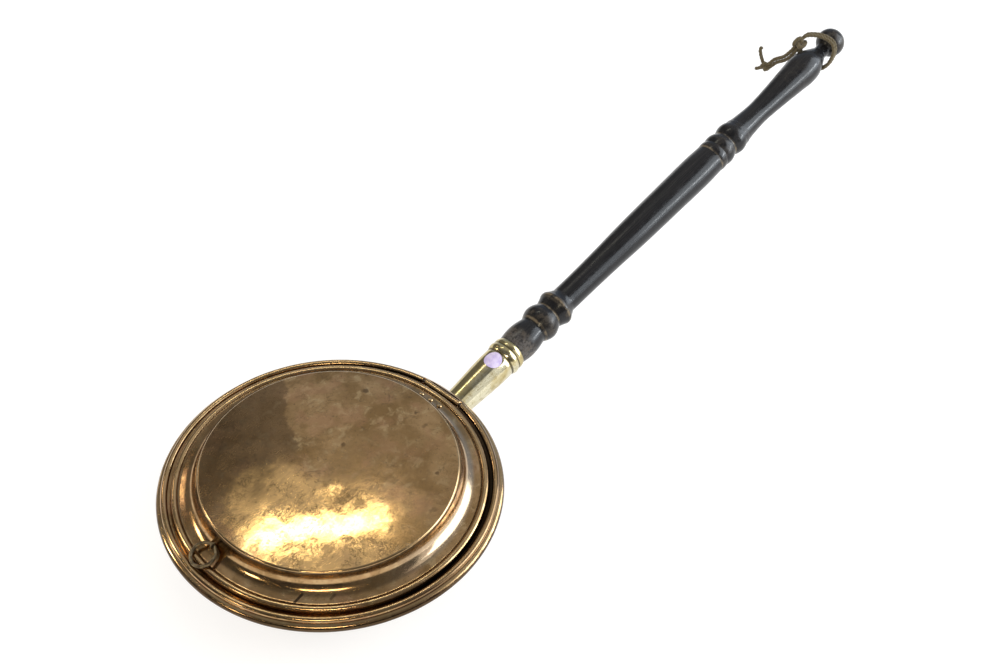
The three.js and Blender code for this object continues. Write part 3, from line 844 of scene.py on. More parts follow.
def make_handle(wood):
    """The turned handle, a little uneven with wear along its length."""
    vertices, faces = turned(handle_outline(), HANDLE_SEGMENTS)
    worn = []
    for x, y, z in vertices:
        r = math.hypot(x, y)
        wear = WOOD_WEAR * uneven((x, y, z / 4), WOOD_WEAR_SIZE, 4.0)
        push = wear / r if r > WORN_BEYOND else 0
        worn.append((x * (1 + push), y * (1 + push), z))
    return formed(
        "turned_handle_polished",
        (worn, faces),
        wood,
        "ebonised_wood",
        "pan",
        "turned_handle",
        place=HANDLE_FRAME,
        crease=HANDLE_CREASE,
    )


def make_pin(iron):
    quarter = [math.pi / 2 * i / 7 for i in range(7)]
    head = [(PIN_HEAD * math.cos(a), PIN_HEAD_HEIGHT * math.sin(a)) for a in quarter]
    shank = [(0.0, -PIN_DEPTH), (PIN_SHANK, -PIN_DEPTH), (PIN_SHANK, 0.0)]
    surface = turned([*shank, *head, (0.0, PIN_HEAD_HEIGHT)], 24)
    seat = cone_radius(PIN_PLACE) + CLEARANCE
    place = on_handle(PIN_PLACE, 0, -seat)
    at = aimed(place, on_handle(PIN_PLACE, 0, -seat - 1) - place)
    return formed("handle_pin_domed", surface, iron, "iron", "pan", "handle_pin", place=at)


# ---- Sticker ----

STICKER_PLACE = 89.4
STICKER_TURN = math.radians(8)
STICKER_RADIUS = 8.7
STICKER_PAPER = 0.12
STICKER_GAP = 0.05
STICKER_RINGS = 8


def make_sticker(paper):
    """A bare paper dot that follows the socket's cone."""

    def ring(i, lift):
        r = STICKER_RADIUS * i / STICKER_RINGS
        points = []
        for a in turns(48) if i else [0.0]:
            along = STICKER_PLACE + r * math.cos(a)
            out = cone_radius(along) + lift
            points.append(beside_axis(along, out, r * math.sin(a) / out - STICKER_TURN))
        return points

    count = range(STICKER_RINGS + 1)
    under = [ring(i, STICKER_GAP) for i in count]
    over = [ring(i, STICKER_GAP + STICKER_PAPER) for i in reversed(count)]
    return formed("price_dot", skinned([*under, *over]), paper, "brass", "pan")


# ---- Twine ----

# Routes along the handle, to its left and above it.
NECK_LOOP = [
    (602.1, 5.6, -12.1), (601.9, -1, -13.4), (603.1, -8, -11.6), (607.5, -13.3, -6.8),
    (614, -14.8, 0), (619, -13.3, 6.7), (621.3, -8.8, 12), (620, -1, 15.6),
    (616, 8, 17.6), (610, 15.2, 18.2), (605.9, 18, 15.6),
]
LOOP_RETURN = [(601.5, 18.5, 4.4), (600.5, 16.9, -1.5), (601.1, 12.8, -7.6)]
TAIL_A = [
    (598, 21.8, 7.4), (593.3, 25, 1.6), (589.3, 30.3, -5.2), (585.6, 39.2, -11.2),
    (581.2, 44.8, -18.4),
]
TAIL_B = [
    (598.3, 19, 5.9), (592.9, 22.2, -1.2), (588.9, 27.5, -8), (585.2, 36.4, -14),
    (580.8, 42.6, -20.7),
]
END_UP = [(580.4, 49.6, -18.2), (581.8, 53.6, -13.3), (584.1, 56.9, -6.5), (586.5, 56.6, -3.6)]
END_DOWN = [(577.9, 50.4, -23.2), (576.5, 53.2, -24.4), (575.1, 56.4, -26.2)]
KNOT = (601.5, 19, 10.6)
KNOT_RADIUS = 7.6
KNOT_STRETCH = 1.15
KNOT_TURN = 0.9
END_KNOT = (579.6, 46.8, -21.4)
END_KNOT_RADIUS = 6.0
STRAND_RADIUS = 2.05
PLIES = 3
PLY_RADIUS = 1.08
PLY_PITCH = 11.0
LOOP_APART = 3.0


def plied(path):
    """The surfaces of twisted plies along points."""
    lengths = [0.0]
    for a, b in zip(path, path[1:]):
        lengths.append(lengths[-1] + (b - a).length)
    surfaces = []
    for ply in range(PLIES):
        lay = []
        for (p, normal, side), s in zip(frames_along(path), lengths):
            a = 2 * math.pi * (ply / PLIES + s / PLY_PITCH)
            loose = 1 + 0.1 * uneven(p, 6, 11.0 + ply)
            out = normal * math.cos(a) + side * math.sin(a)
            lay.append(p + out * (STRAND_RADIUS - PLY_RADIUS) * loose)
        surfaces.append(swept(lay, PLY_RADIUS, 10))
    return surfaces


def make_strand(twine, node, end_node, route, apart=0.0):
    """A plied cord along a route, or two that lie side by side, apart along the handle."""
    curve = spline([on_handle(*p) for p in route], 12)
    surfaces = []
    for side in (-0.5, 0.5) if apart else (0.0,):
        surfaces += plied([p + AXIS * (side * apart) for p in curve])
    surface, nodes = joined(surfaces), (node, end_node)
    made = formed(node + "_plied", surface, twine, "twine", "pan", *nodes, crease=TWINE_CREASE)
    path = [tuple(p * MM) for p in curve]
    length = sum((Vector(b) - Vector(a)).length for a, b in zip(path, path[1:]))
    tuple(path[0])


def make_knot(twine, node, place, radius, stretch):
    """A tight overhand knot, its strand crossing itself three times."""
    wire = 1.05 * STRAND_RADIUS * (radius / KNOT_RADIUS) ** 0.5
    reach = (radius - wire) / 3
    path = []
    for t in turns(90):
        x = math.sin(t) + 2 * math.sin(2 * t)
        y = math.cos(t) - 2 * math.cos(2 * t)
        path.append(Vector((x, y, -1.9 * math.sin(3 * t))) * reach)

    def plies(share, a):
        return 1 + 0.09 * math.cos(3 * a + 46 * math.pi * share)

    surface = swept(path, wire, 14, closed=True, flatten=plies)
    turn = Matrix.Rotation(KNOT_TURN, 4, "Y") @ Matrix.Diagonal((1, 1, stretch, 1))
    at = Matrix.Translation(on_handle(*place)) @ turn
    name = node + "_tied"
    return formed(name, surface, twine, "twine", "pan", node, place=at, crease=TWINE_CREASE)


def make_twine(twine):
    knot = make_knot(twine, "twine_knot", KNOT, KNOT_RADIUS, KNOT_STRETCH)
    end = make_knot(twine, "twine_end_knot", END_KNOT, END_KNOT_RADIUS, 1)
    loop = [*LOOP_RETURN, *NECK_LOOP]
    make_strand(twine, "twine_loop", "twine_return", loop, LOOP_APART)
    make_strand(twine, "twine_tail_a", "twine_end_up", [*TAIL_A, *END_UP])
    make_strand(twine, "twine_tail_b", "twine_end_down", [*TAIL_B, *END_DOWN])


# ---- Shader nodes ----


class Nodes:
    """Adds nodes to a shader tree, and wires sockets, numbers and colours alike."""

    def __init__(self, owner):
        owner.use_nodes = True
        self.tree = owner.node_tree

    def add(self, kind, **settings):
        node = self.tree.nodes.new(kind)
        for key, value in settings.items():
            setattr(node, key, value)
        return node

    def wire(self, value, socket):
        if isinstance(value, bpy.types.NodeSocket):
            self.tree.links.new(value, socket)
        elif socket.type == "RGBA":
            socket.default_value = (*value, 1)
        else:
            socket.default_value = value

    def vector(self, operation, a, b=None, scale=None):
        node = self.add("ShaderNodeVectorMath", operation=operation)
        self.wire(a, node.inputs[0])
        if b is not None:
            self.wire(b, node.inputs[1])
        if scale is not None:
            self.wire(scale, node.inputs["Scale"])
        scalar = operation in ("DOT_PRODUCT", "LENGTH", "DISTANCE")
        return node.outputs["Value" if scalar else "Vector"]

    def maths(self, operation, *values):
        """One operation over two or more values in turn."""
        total = values[0]
        for value in values[1:]:
            node = self.add("ShaderNodeMath", operation=operation)
            self.wire(total, node.inputs[0])
            self.wire(value, node.inputs[1])
            total = node.outputs[0]
        return total

    def times(self, *values):
        return self.maths("MULTIPLY", *values)

    def more(self, *values):
        return self.maths("ADD", *values)

    def less(self, a, b):
        return self.maths("SUBTRACT", a, b)

    def either(self, *values):
        return self.maths("MAXIMUM", *values)

    def spread(self, value, low, high, bottom=0.0, top=1.0):
        """A smooth step of a value from bottom at low to top at high."""
        node = self.add("ShaderNodeMapRange", interpolation_type="SMOOTHSTEP")
        for key, v in enumerate((value, low, high, bottom, top)):
            self.wire(v, node.inputs[key])
        return node.outputs[0]

    def blend(self, share, a, b):
        """A colour that share of the way from a to b."""
        node = self.add("ShaderNodeMix", data_type="RGBA")
        for key, v in ((0, share), (6, a), (7, b)):
            self.wire(v, node.inputs[key])
        return node.outputs[2]

    def choose(self, share, a, b):
        """A number that share of the way from a to b."""
        node = self.add("ShaderNodeMix")
        for key, v in ((0, share), (2, a), (3, b)):
            self.wire(v, node.inputs[key])
        return node.outputs[0]


class Finish(Nodes):
    """A Principled material whose nodes work in the part's own millimetres."""

    def __init__(self, name, metallic, specular=0.5):
        self.material = bpy.data.materials.new(name)
        super().__init__(self.material)
        self.shader = self.tree.nodes["Principled BSDF"]
        self.shader.inputs["Metallic"].default_value = metallic
        self.shader.inputs["Specular IOR Level"].default_value = specular
        place = self.add("ShaderNodeTexCoord")
        self.mm = self.vector("SCALE", place.outputs["Object"], scale=1000)
        self.normal = place.outputs["Normal"]
        self.relief = None

    def flat(self):
        return self.vector("MULTIPLY", self.mm, (1, 1, 0))

    def radius(self):
        return self.vector("LENGTH", self.flat())

    def height(self):
        return self.vector("DOT_PRODUCT", self.mm, (0, 0, 1))

    def noise(self, size, detail=3, roughness=0.5, place=None, shift=0, distortion=0.0):
        """A noise from about 0.3 to 0.7 whose main lumps have that size."""
        node = self.add("ShaderNodeTexNoise")
        at = self.vector("ADD", self.mm if place is None else place, (shift, 2 * shift, -shift))
        self.wire(at, node.inputs["Vector"])
        node.inputs["Scale"].default_value = 1 / size
        node.inputs["Detail"].default_value = detail
        node.inputs["Roughness"].default_value = roughness
        node.inputs["Distortion"].default_value = distortion
        return node.outputs["Fac"]

    def waver(self, size, shift):
        """A noise about 0, for ragged edges."""
        return self.less(self.noise(size, 4, 0.6, shift=shift), 0.5)

    def drawn_out(self, angle, length, width):
        """Coordinates in which a noise runs in streaks, at an angle in degrees across XY."""
        turn = self.add("ShaderNodeMapping", vector_type="POINT")
        self.wire(self.mm, turn.inputs["Vector"])
        turn.inputs["Rotation"].default_value = (0, 0, math.radians(angle))
        turn.inputs["Scale"].default_value = (1 / length, 1 / width, 1 / width)
        return turn.outputs["Vector"]

    def band(self, value, middle, reach, soft):
        """1 within reach of the middle, falling to 0 over the soft width."""
        away = self.add("ShaderNodeMath", operation="ABSOLUTE")
        self.wire(self.less(value, middle), away.inputs[0])
        return self.spread(away.outputs[0], reach, reach + soft, 1.0, 0.0)

    def scratches(self, angle, length, width, amount, shift):
        """Fine lines across the XY plane, at an angle in degrees."""
        place = self.drawn_out(angle, length, width)
        lines = self.noise(1.0, 2, 0.5, place=place, shift=shift, distortion=0.4)
        where = self.noise(length, 2, 0.5, shift=shift + 5)
        return self.times(
            self.spread(lines, 0.66, 0.7),
            self.spread(where, 0.58 - amount, 0.62 - amount),
        )

    def paint(self, colour, *shares):
        """Lays a colour over what is there, by the product of the shares."""
        self.colour = self.blend(self.times(*shares), self.colour, colour)

    def emboss(self, height, depth):
        """Adds relief whose height, from 0 to 1, stands for that many millimetres."""
        node = self.add("ShaderNodeBump")
        node.inputs["Strength"].default_value = 1
        node.inputs["Distance"].default_value = depth * MM
        self.wire(height, node.inputs["Height"])
        if self.relief is not None:
            self.wire(self.relief, node.inputs["Normal"])
        self.relief = node.outputs["Normal"]

    def finish(self):
        self.wire(self.colour, self.shader.inputs["Base Color"])
        self.wire(self.rough, self.shader.inputs["Roughness"])
        if self.relief is not None:
            self.wire(self.relief, self.shader.inputs["Normal"])
        return self.material


# ---- Copper ----

COPPER_DEEP = (0.33, 0.2, 0.085)
COPPER_MID = (0.54, 0.345, 0.17)
COPPER_PALE = (0.66, 0.47, 0.25)
COPPER_DARK = (0.17, 0.105, 0.055)
COPPER_PINK = (0.6, 0.33, 0.19)
COPPER_GOLD = (0.95, 0.6, 0.25)
# Pale grey copper, painted in the lid's cove as a reflection of the floor.
COPPER_FLOOR_REFLECTION = (0.58, 0.46, 0.33)
# Dirt for specks, hairs and nicks; also painted shade in the rim's gap and on the pan's outer edge.
DIRT_AND_SHADE = (0.055, 0.035, 0.02)
# Painted shade, black, in the gaps between the lid's edge and the rim.
GAP_SHADE_BLACK = (0.02, 0.014, 0.01)
SOOT = (0.05, 0.04, 0.033)


def mottled_copper(name):
    """Copper with its mottle, specks, stains and scratches, and its roughness."""
    m = Finish(name, 1.0)
    wide = m.noise(46, 4, 0.55, distortion=0.6)
    mottle = m.noise(11, 5, 0.62, shift=40, distortion=0.4)
    fine = m.noise(2.2, 4, 0.7, shift=90)
    m.colour = m.blend(m.spread(wide, 0.34, 0.62), COPPER_DEEP, COPPER_MID)
    m.paint(COPPER_PALE, m.spread(mottle, 0.5, 0.68, 0, 0.7))
    m.paint(COPPER_DEEP, m.spread(mottle, 0.47, 0.33, 0, 0.6))
    m.paint(COPPER_DARK, m.spread(fine, 0.4, 0.27, 0, 0.85))
    m.paint(COPPER_PINK, m.spread(m.noise(24, 3, 0.5, shift=150), 0.5, 0.68, 0, 0.35))
    specks = m.spread(m.noise(1.6, 2, 0.5, shift=60), 0.34, 0.29)
    m.paint(DIRT_AND_SHADE, specks, m.spread(m.noise(16, 3, 0.6, shift=70), 0.46, 0.6), 0.8)
    lines = m.scratches(24, 60, 0.45, 0.03, 3)
    for angle, shift in ((-38, 11), (71, 23), (118, 31)):
        lines = m.either(lines, m.scratches(angle, 45, 0.4, 0.02, shift))
    m.paint(COPPER_DARK, lines, 0.6)
    m.emboss(m.noise(6.5, 3, 0.5, shift=12), 0.03)
    m.emboss(fine, 0.01)
    m.emboss(m.times(lines, -1), 0.015)
    m.rough = m.more(m.spread(mottle, 0.35, 0.65, 0.19, 0.11), m.spread(fine, 0.4, 0.65, 0.06, 0))
    return m


def to_right(m):
    """From 0 on the rim's left side to 1 on its right side, as the photo sees it."""
    return m.spread(m.vector("DOT_PRODUCT", m.mm, (0.82, -0.57, 0)), -40, 110)


def soot_inside(m):
    """1 on surfaces that face the hollow of the pan and lid."""
    inwards = m.vector("NORMALIZE", m.vector("SUBTRACT", (0, 0, 40), m.mm))
    facing = m.vector("DOT_PRODUCT", inwards, m.normal)
    return m.times(m.spread(facing, 0.12, 0.3), m.spread(m.radius(), 133, 128))


# Places on the lid's plateau, read off the photo.
# The two lines below bound painted shade, a dark reflection on the crown's left part.
DARK_EDGE = ((13, 59), (-0.793, 0.61))
DARK_FOOT = ((-20, 22), (-0.2, 0.98))
# Polished places, smoother and carrying a painted highlight.
POLISHED_HIGHLIGHT_PLACES = (((-60, 0), 34, 18), ((-52, -52), 44, 26))
STAINS = (((81, 36.8), 3.4), ((93.3, -14.4), 2.6), ((55, -76.2), 2.2), ((21.6, 2.8), 2.4))
DULL_PLACE = (22, -60)
NICKS = (((-105, -70.8), 7, 0.9), ((-85, -91), 4, 0.45))
# Below this height the lid's bead gets painted shade.
gap_shade_height = lid_wire_height - 1.6


def polish_and_reflect_crown(m, on_crown, waver, ragged):
    """Painted shade on the crown's left part, a dark reflection, and places polished smoother with a
    painted highlight.
    """

    def beyond(place, direction):
        """How far a point lies past a line, with a ragged edge."""
        along = m.vector("DOT_PRODUCT", m.vector("SUBTRACT", m.mm, (*place, 0)), (*direction, 0))
        return m.more(along, m.times(waver, 34), m.times(ragged, 8))

    # Painted shade: the dark reflection on the crown's left part.
    dark = m.spread(beyond(*DARK_EDGE), -1.5, 3)
    dark = m.times(dark, m.spread(beyond(*DARK_FOOT), -14, 16), on_crown)
    m.paint(COPPER_DARK, dark, 0.62)
    places = []
    for centre, reach, soft in POLISHED_HIGHLIGHT_PLACES:
        away = m.vector("DISTANCE", m.flat(), (*centre, 0))
        away = m.more(away, m.times(waver, 44), m.times(ragged, 18))
        places.append(m.spread(away, reach + soft, reach - 4))
    bright = m.times(m.either(*places), on_crown)
    # Painted highlight: pale gold over the polished places, which are also smoother.
    streaky = m.noise(1.0, 4, 0.6, place=m.drawn_out(48, 26, 9), shift=41)
    m.paint(COPPER_GOLD, bright, m.spread(streaky, 0.3, 0.6, 0.5, 1.0))
    m.rough = m.more(m.rough, m.times(bright, -0.09), m.times(dark, 0.04))
    return bright


def mark_crown(m, on_crown, waver, ragged, bright):
    """Hairs, smudges, stains, a dull place and nicks."""
    hairs = m.either(
        m.band(m.noise(4.5, 5, 0.62, shift=230, distortion=1.2), 0.5, 0.006, 0.014),
        m.band(m.noise(7, 5, 0.6, shift=260, distortion=2), 0.5, 0.004, 0.01),
    )
    clumps = m.spread(m.noise(15, 4, 0.65, shift=220), 0.5, 0.58)
    m.paint(DIRT_AND_SHADE, hairs, clumps, m.spread(bright, 0, 0.5, 0.35, 0.9), on_crown)
    smudges = m.noise(12, 5, 0.7, shift=280, distortion=0.8)
    m.paint(COPPER_DARK, m.spread(smudges, 0.58, 0.68, 0, 0.5), on_crown)
    flat = m.flat()
    for place, size in STAINS:
        away = m.more(m.vector("DISTANCE", flat, (*place, 0)), m.times(ragged, 9))
        m.paint(COPPER_DARK, m.spread(away, size * 1.2, size * 0.5, 0, 0.85))
    away = m.vector("DISTANCE", flat, (*DULL_PLACE, 0))
    away = m.more(away, m.times(waver, 16), m.times(ragged, 6))
    m.paint(COPPER_DEEP, m.spread(away, 65, 61), m.spread(away, 12, 58, 0.35, 1), on_crown, 0.42)
    for place, length, strength in NICKS:
        nick = m.vector("ABSOLUTE", m.vector("SUBTRACT", flat, (*place, 0)))
        side = m.spread(m.vector("DOT_PRODUCT", nick, (0, 1, 0)), 1.5, 0.7)
        end = m.spread(m.vector("DOT_PRODUCT", nick, (1, 0, 0)), length, length * 0.6)
        m.paint(DIRT_AND_SHADE, side, end, strength)


def lid_copper():
    m = mottled_copper("lid_copper")
    radius, height, right = m.radius(), m.height(), to_right(m)
    waver, ragged = m.waver(30, 200), m.waver(7, 210)
    on_crown = m.spread(radius, plateau_radius + 1, plateau_radius - 2)
    bright = polish_and_reflect_crown(m, on_crown, waver, ragged)
    mark_crown(m, on_crown, waver, ragged, bright)
    # Polish on the edge of the plateau; darker in the crease at its foot and in the groove at the
    # flange's edge.
    edge = m.band(radius, plateau_radius - 0.6, 0.4, 0.8)
    m.paint(COPPER_PALE, edge, 0.4)
    crease = m.band(radius, plateau_radius + 1.6, 0.4, 0.9)
    m.paint(DIRT_AND_SHADE, crease, m.spread(ragged, -0.2, 0.2, 0.3, 0.8))
    m.paint(DIRT_AND_SHADE, m.band(radius, flange_outer + 0.7, 0.3, 0.8), 0.6)
    # Painted shade darkens the cove on its left; on its right a painted reflection of the pale floor
    # makes it paler and greyer.
    hollow = m.times(
        m.spread(radius, plateau_radius + 1, plateau_radius + 3),
        m.spread(radius, flange_inner + 2, flange_inner - 3),
    )
    floor_reflection_share = m.spread(right, 0.3, 0.9)
    m.paint(COPPER_DEEP, hollow, m.less(0.25, m.times(floor_reflection_share, 0.25)))
    m.paint(COPPER_FLOOR_REFLECTION, hollow, floor_reflection_share, 0.6)
    worn = m.band(radius, lid_ring - 0.3, 1.1, 1.2)
    m.paint(COPPER_PALE, worn, 0.5)
    # Painted shade: black in the gap between the lid's edge and the rim, on the bead's outer flank
    # and underside, stronger on the right.
    outside = m.more(radius, m.times(right, 1.3))
    lower = m.spread(height, gap_shade_height + 1, gap_shade_height)
    seat = m.either(
        m.spread(outside, lid_ring + 3.0, lid_ring + 3.6),
        m.times(m.spread(outside, lid_ring, lid_ring + 1), lower),
    )
    below = m.spread(height, lid_wire_height + 2.3, lid_wire_height + 1.6)
    m.paint(GAP_SHADE_BLACK, seat, below, m.spread(right, 0, 1, 0.4, 0.93))
    soot = soot_inside(m)
    m.paint(SOOT, soot, 0.9)
    crisp = m.times(m.either(hollow, edge), -0.04)
    m.rough = m.more(m.rough, m.times(soot, 0.35), m.times(worn, -0.06), crisp)
    return m.finish()


def pan_copper():
    m = mottled_copper("pan_copper")
    radius, height, right = m.radius(), m.height(), to_right(m)
    ragged = m.waver(8, 300)
    # Painted shade in the gap under the lid's edge, stronger on the right, on the ledge below the
    # bead.
    shade_share = m.spread(right, 0, 1, 0.3, 0.92)
    ledge = m.band(radius, RIM_RING - bead - 1.2, 1.0, 1.0)
    m.paint(DIRT_AND_SHADE, ledge, m.spread(height, 59.6, 58.6), shade_share)
    worn = m.times(m.band(radius, RIM_RING, 1.4, 1.4), m.spread(height, 60, 61.4))
    m.paint(COPPER_PALE, worn, 0.35)
    # Painted shade: black on the bowl's inner side just below the bead.
    inner = m.less(radius, m.times(right, 0.6))
    seat = m.spread(inner, RIM_RING - 2.2, RIM_RING - 3.0)
    m.paint(GAP_SHADE_BLACK, seat, m.spread(height, 52, 54), shade_share)
    # Painted shade in the groove between the bead and the curl, stronger on the right.
    flank = m.band(radius, RIM_RING + 2.3, 1.0, 0.7)
    m.paint(COPPER_DARK, flank, m.spread(right, 0.35, 0.8, 0.15, 0.8))
    # Painted highlight along the curl's shoulder, which is also smoother.
    shoulder = m.band(radius, RIM_RING + 4.6, 0.6, 0.9)
    m.paint(COPPER_PALE, shoulder, 0.5)
    # Painted shade: a dark line on the curl's outer edge, where it mirrors the floor under the pan.
    m.paint(DIRT_AND_SHADE, m.spread(m.more(radius, m.times(ragged, 1.5)), 149.3, 150.3, 0, 0.9))
    low = m.spread(m.more(height, m.times(ragged, 16)), 30, 4)
    below = m.times(low, m.spread(radius, 60, 130, 0.45, 0.75))
    m.paint(COPPER_DARK, below)
    soot = soot_inside(m)
    m.paint(SOOT, soot, 0.92)
    crisp = m.times(m.either(worn, shoulder), -0.06)
    m.rough = m.more(m.rough, crisp, m.times(soot, 0.35), m.times(below, 0.12))
    return m.finish()


def small_copper():
    m = mottled_copper("fitting_copper")
    m.paint(COPPER_PALE, 0.45)
    return m.finish()


# ---- Brass, iron, wood, twine and paper ----

BRASS_DEEP = (0.32, 0.24, 0.09)
BRASS_MID = (0.56, 0.46, 0.23)
BRASS_PALE = (0.74, 0.69, 0.5)
BRASS_DIRT = (0.07, 0.055, 0.03)
BRASS_SPECK = (0.1, 0.08, 0.04)


def along_handle(m):
    """The distance along the handle, and a function that draws noises out along it."""
    away = m.vector("SUBTRACT", m.mm, tuple(HANDLE_FRAME.translation))
    along = m.vector("DOT_PRODUCT", away, tuple(AXIS))

    def drawn(factor):
        shift = m.vector("SCALE", tuple(AXIS), scale=m.times(along, -(1 - 1 / factor)))
        return m.vector("ADD", away, shift)

    return along, drawn


def socket_brass():
    m = Finish("socket_brass", 1.0)
    along, drawn = along_handle(m)
    wide = m.noise(22, 4, 0.6, distortion=0.5)
    mottle = m.noise(5, 4, 0.65, shift=30)
    m.colour = m.blend(m.spread(wide, 0.38, 0.62), BRASS_MID, BRASS_PALE)
    # Painted shade: faces that look upwards are darker, where they mirror the room above.
    upwards = m.vector("DOT_PRODUCT", m.normal, (0, 0.5, 0.866))
    m.paint(BRASS_MID, m.spread(upwards, 0.55, 0.9, 0, 0.8))
    m.paint(BRASS_DEEP, m.spread(mottle, 0.5, 0.34, 0, 0.4))
    streaks = m.noise(1.4, 3, 0.6, place=drawn(26), shift=50)
    m.paint(BRASS_DEEP, m.spread(streaks, 0.42, 0.3, 0, 0.55))
    dirt = m.either(
        m.band(along, CONE_LENGTH + 0.07 * COLLAR_LENGTH, 0.7, 1.1),
        m.band(along, CONE_LENGTH + 0.588 * COLLAR_LENGTH, 0.4, 0.8),
        m.spread(along, socket_mouth - 1.3, socket_mouth - 0.3),
    )
    m.paint(BRASS_DIRT, dirt, 0.85)
    m.paint(BRASS_DEEP, m.spread(along, 16, 2), 0.5)
    m.paint(BRASS_SPECK, m.spread(m.noise(1.3, 2, 0.5, shift=77), 0.3, 0.26), 0.6)
    m.emboss(m.noise(16, 3, 0.5, shift=8), 0.1)
    m.emboss(streaks, 0.008)
    m.rough = m.more(m.spread(mottle, 0.35, 0.65, 0.2, 0.12), m.times(dirt, 0.25))
    return m.finish()


def ring_brass():
    m = Finish("ring_brass", 1.0)
    wide = m.noise(5, 4, 0.6)
    fine = m.noise(0.9, 4, 0.7, shift=20)
    m.colour = m.blend(m.spread(wide, 0.38, 0.62), (0.13, 0.1, 0.065), (0.3, 0.24, 0.15))
    m.paint((0.08, 0.06, 0.04), m.spread(fine, 0.46, 0.32, 0, 0.8))
    m.emboss(m.noise(1.6, 3, 0.6, shift=31), 0.1)
    m.emboss(fine, 0.03)
    m.rough = m.spread(fine, 0.3, 0.7, 0.5, 0.28)
    return m.finish()


def dark_iron():
    m = Finish("dark_iron", 1.0)
    fine = m.noise(1.4, 4, 0.7)
    rust = m.noise(5, 4, 0.6, shift=9)
    m.colour = m.blend(m.spread(fine, 0.35, 0.65), (0.09, 0.075, 0.065), (0.22, 0.19, 0.165))
    m.paint((0.17, 0.075, 0.035), m.spread(rust, 0.52, 0.66, 0, 0.7))
    m.emboss(fine, 0.05)
    m.rough = m.spread(rust, 0.4, 0.7, 0.38, 0.7)
    return m.finish()


WOOD_BLACK = (0.008, 0.008, 0.009)
WOOD_DARK = (0.024, 0.022, 0.022)
WOOD_BROWN = (0.08, 0.062, 0.044)
WOOD_BARE = (0.19, 0.145, 0.09)
WOOD_GREY = (0.115, 0.105, 0.1)
# Where wear shows the wood's brown: middle and reach along the handle, and how much.
WORN_PLACES = (
    (123, 9, 0.8), (156.5, 5.5, 0.45), (179.5, 3.5, 0.55), (424, 3, 0.25),
    (436, 8, 0.2), (462, 9, 0.1), (558, 20, 0.08), (633, 14, 0.3),
)
# Crests that are rubbed down to bare wood.
WORN_RIDGES = (148.6, 168.4, 179.9, 421.5, 446.5)


def ebonised_wood():
    m = Finish("ebonised_wood", 0.0, specular=0.32)
    along, drawn = along_handle(m)
    grain = m.noise(1.1, 4, 0.6, place=drawn(30), shift=5)
    pores = m.noise(0.45, 2, 0.5, place=drawn(14), shift=15)
    patchy = m.noise(9, 4, 0.65, shift=25)
    fine = m.noise(1.8, 4, 0.7, shift=35)
    m.colour = m.blend(m.spread(grain, 0.4, 0.66, 0, 0.4), WOOD_BLACK, WOOD_DARK)
    places = []
    for middle, reach, amount in WORN_PLACES:
        places.append(m.times(m.band(along, middle, reach * 0.55, reach * 0.8), amount))
    streaky = m.spread(grain, 0.3, 0.5, 0.55, 1)
    rubbed = m.times(m.either(*places), m.spread(patchy, 0.4, 0.6), streaky)
    m.paint(WOOD_BROWN, rubbed)
    # Painted sheen: grey over the beads near the collar.
    m.paint(WOOD_GREY, m.spread(along, 136, 118, 0, 0.8), m.spread(fine, 0.35, 0.6))
    ridges = m.either(*[m.band(along, crest, 0.3, 1.5) for crest in WORN_RIDGES])
    m.paint(WOOD_BARE, ridges, m.spread(patchy, 0.42, 0.58, 0.1, 0.7))
    m.paint(WOOD_BROWN, m.spread(fine, 0.64, 0.7), m.spread(patchy, 0.48, 0.6), 0.5)
    m.emboss(grain, 0.02)
    m.emboss(m.spread(pores, 0.34, 0.28), -0.02)
    m.emboss(patchy, 0.03)
    m.rough = m.more(m.spread(patchy, 0.35, 0.65, 0.16, 0.27), m.times(rubbed, 0.16))
    return m.finish()


def hemp():
    m = Finish("hemp_twine", 0.0, specular=0.2)
    m.shader.inputs["Sheen Weight"].default_value = 0.25
    m.shader.inputs["Sheen Roughness"].default_value = 0.5
    fibre = m.noise(0.35, 4, 0.7)
    wide = m.noise(5, 3, 0.6, shift=14)
    m.colour = m.blend(m.spread(fibre, 0.36, 0.62), (0.02, 0.015, 0.008), (0.2, 0.16, 0.092))
    m.paint((0.14, 0.11, 0.06), m.spread(wide, 0.45, 0.65, 0, 0.6))
    m.emboss(fibre, 0.12)
    m.rough = m.spread(fibre, 0.3, 0.7, 0.95, 0.75)
    return m.finish()


def bare_paper():
    m = Finish("bare_paper", 0.0, specular=0.3)
    wide = m.noise(6, 4, 0.6)
    fibre = m.noise(0.5, 3, 0.6, shift=4)
    m.colour = m.blend(m.spread(wide, 0.35, 0.65), (0.5, 0.42, 0.7), (0.66, 0.58, 0.8))
    m.paint((0.75, 0.7, 0.8), m.spread(m.noise(1.3, 4, 0.7, shift=8), 0.56, 0.64), 0.5)
    m.emboss(fibre, 0.02)
    m.rough = m.spread(fibre, 0.3, 0.7, 0.6, 0.45)
    return m.finish()


# ---- Studio ----

FLOOR_REACH = 12.0  # metres
FLOOR_DROP = 0.0004  # metres
FLOOR_GREY = (0.82, 0.82, 0.82)
FLOOR_GLOW = 1.32
FLOOR_GLOW_SHARE = 0.55


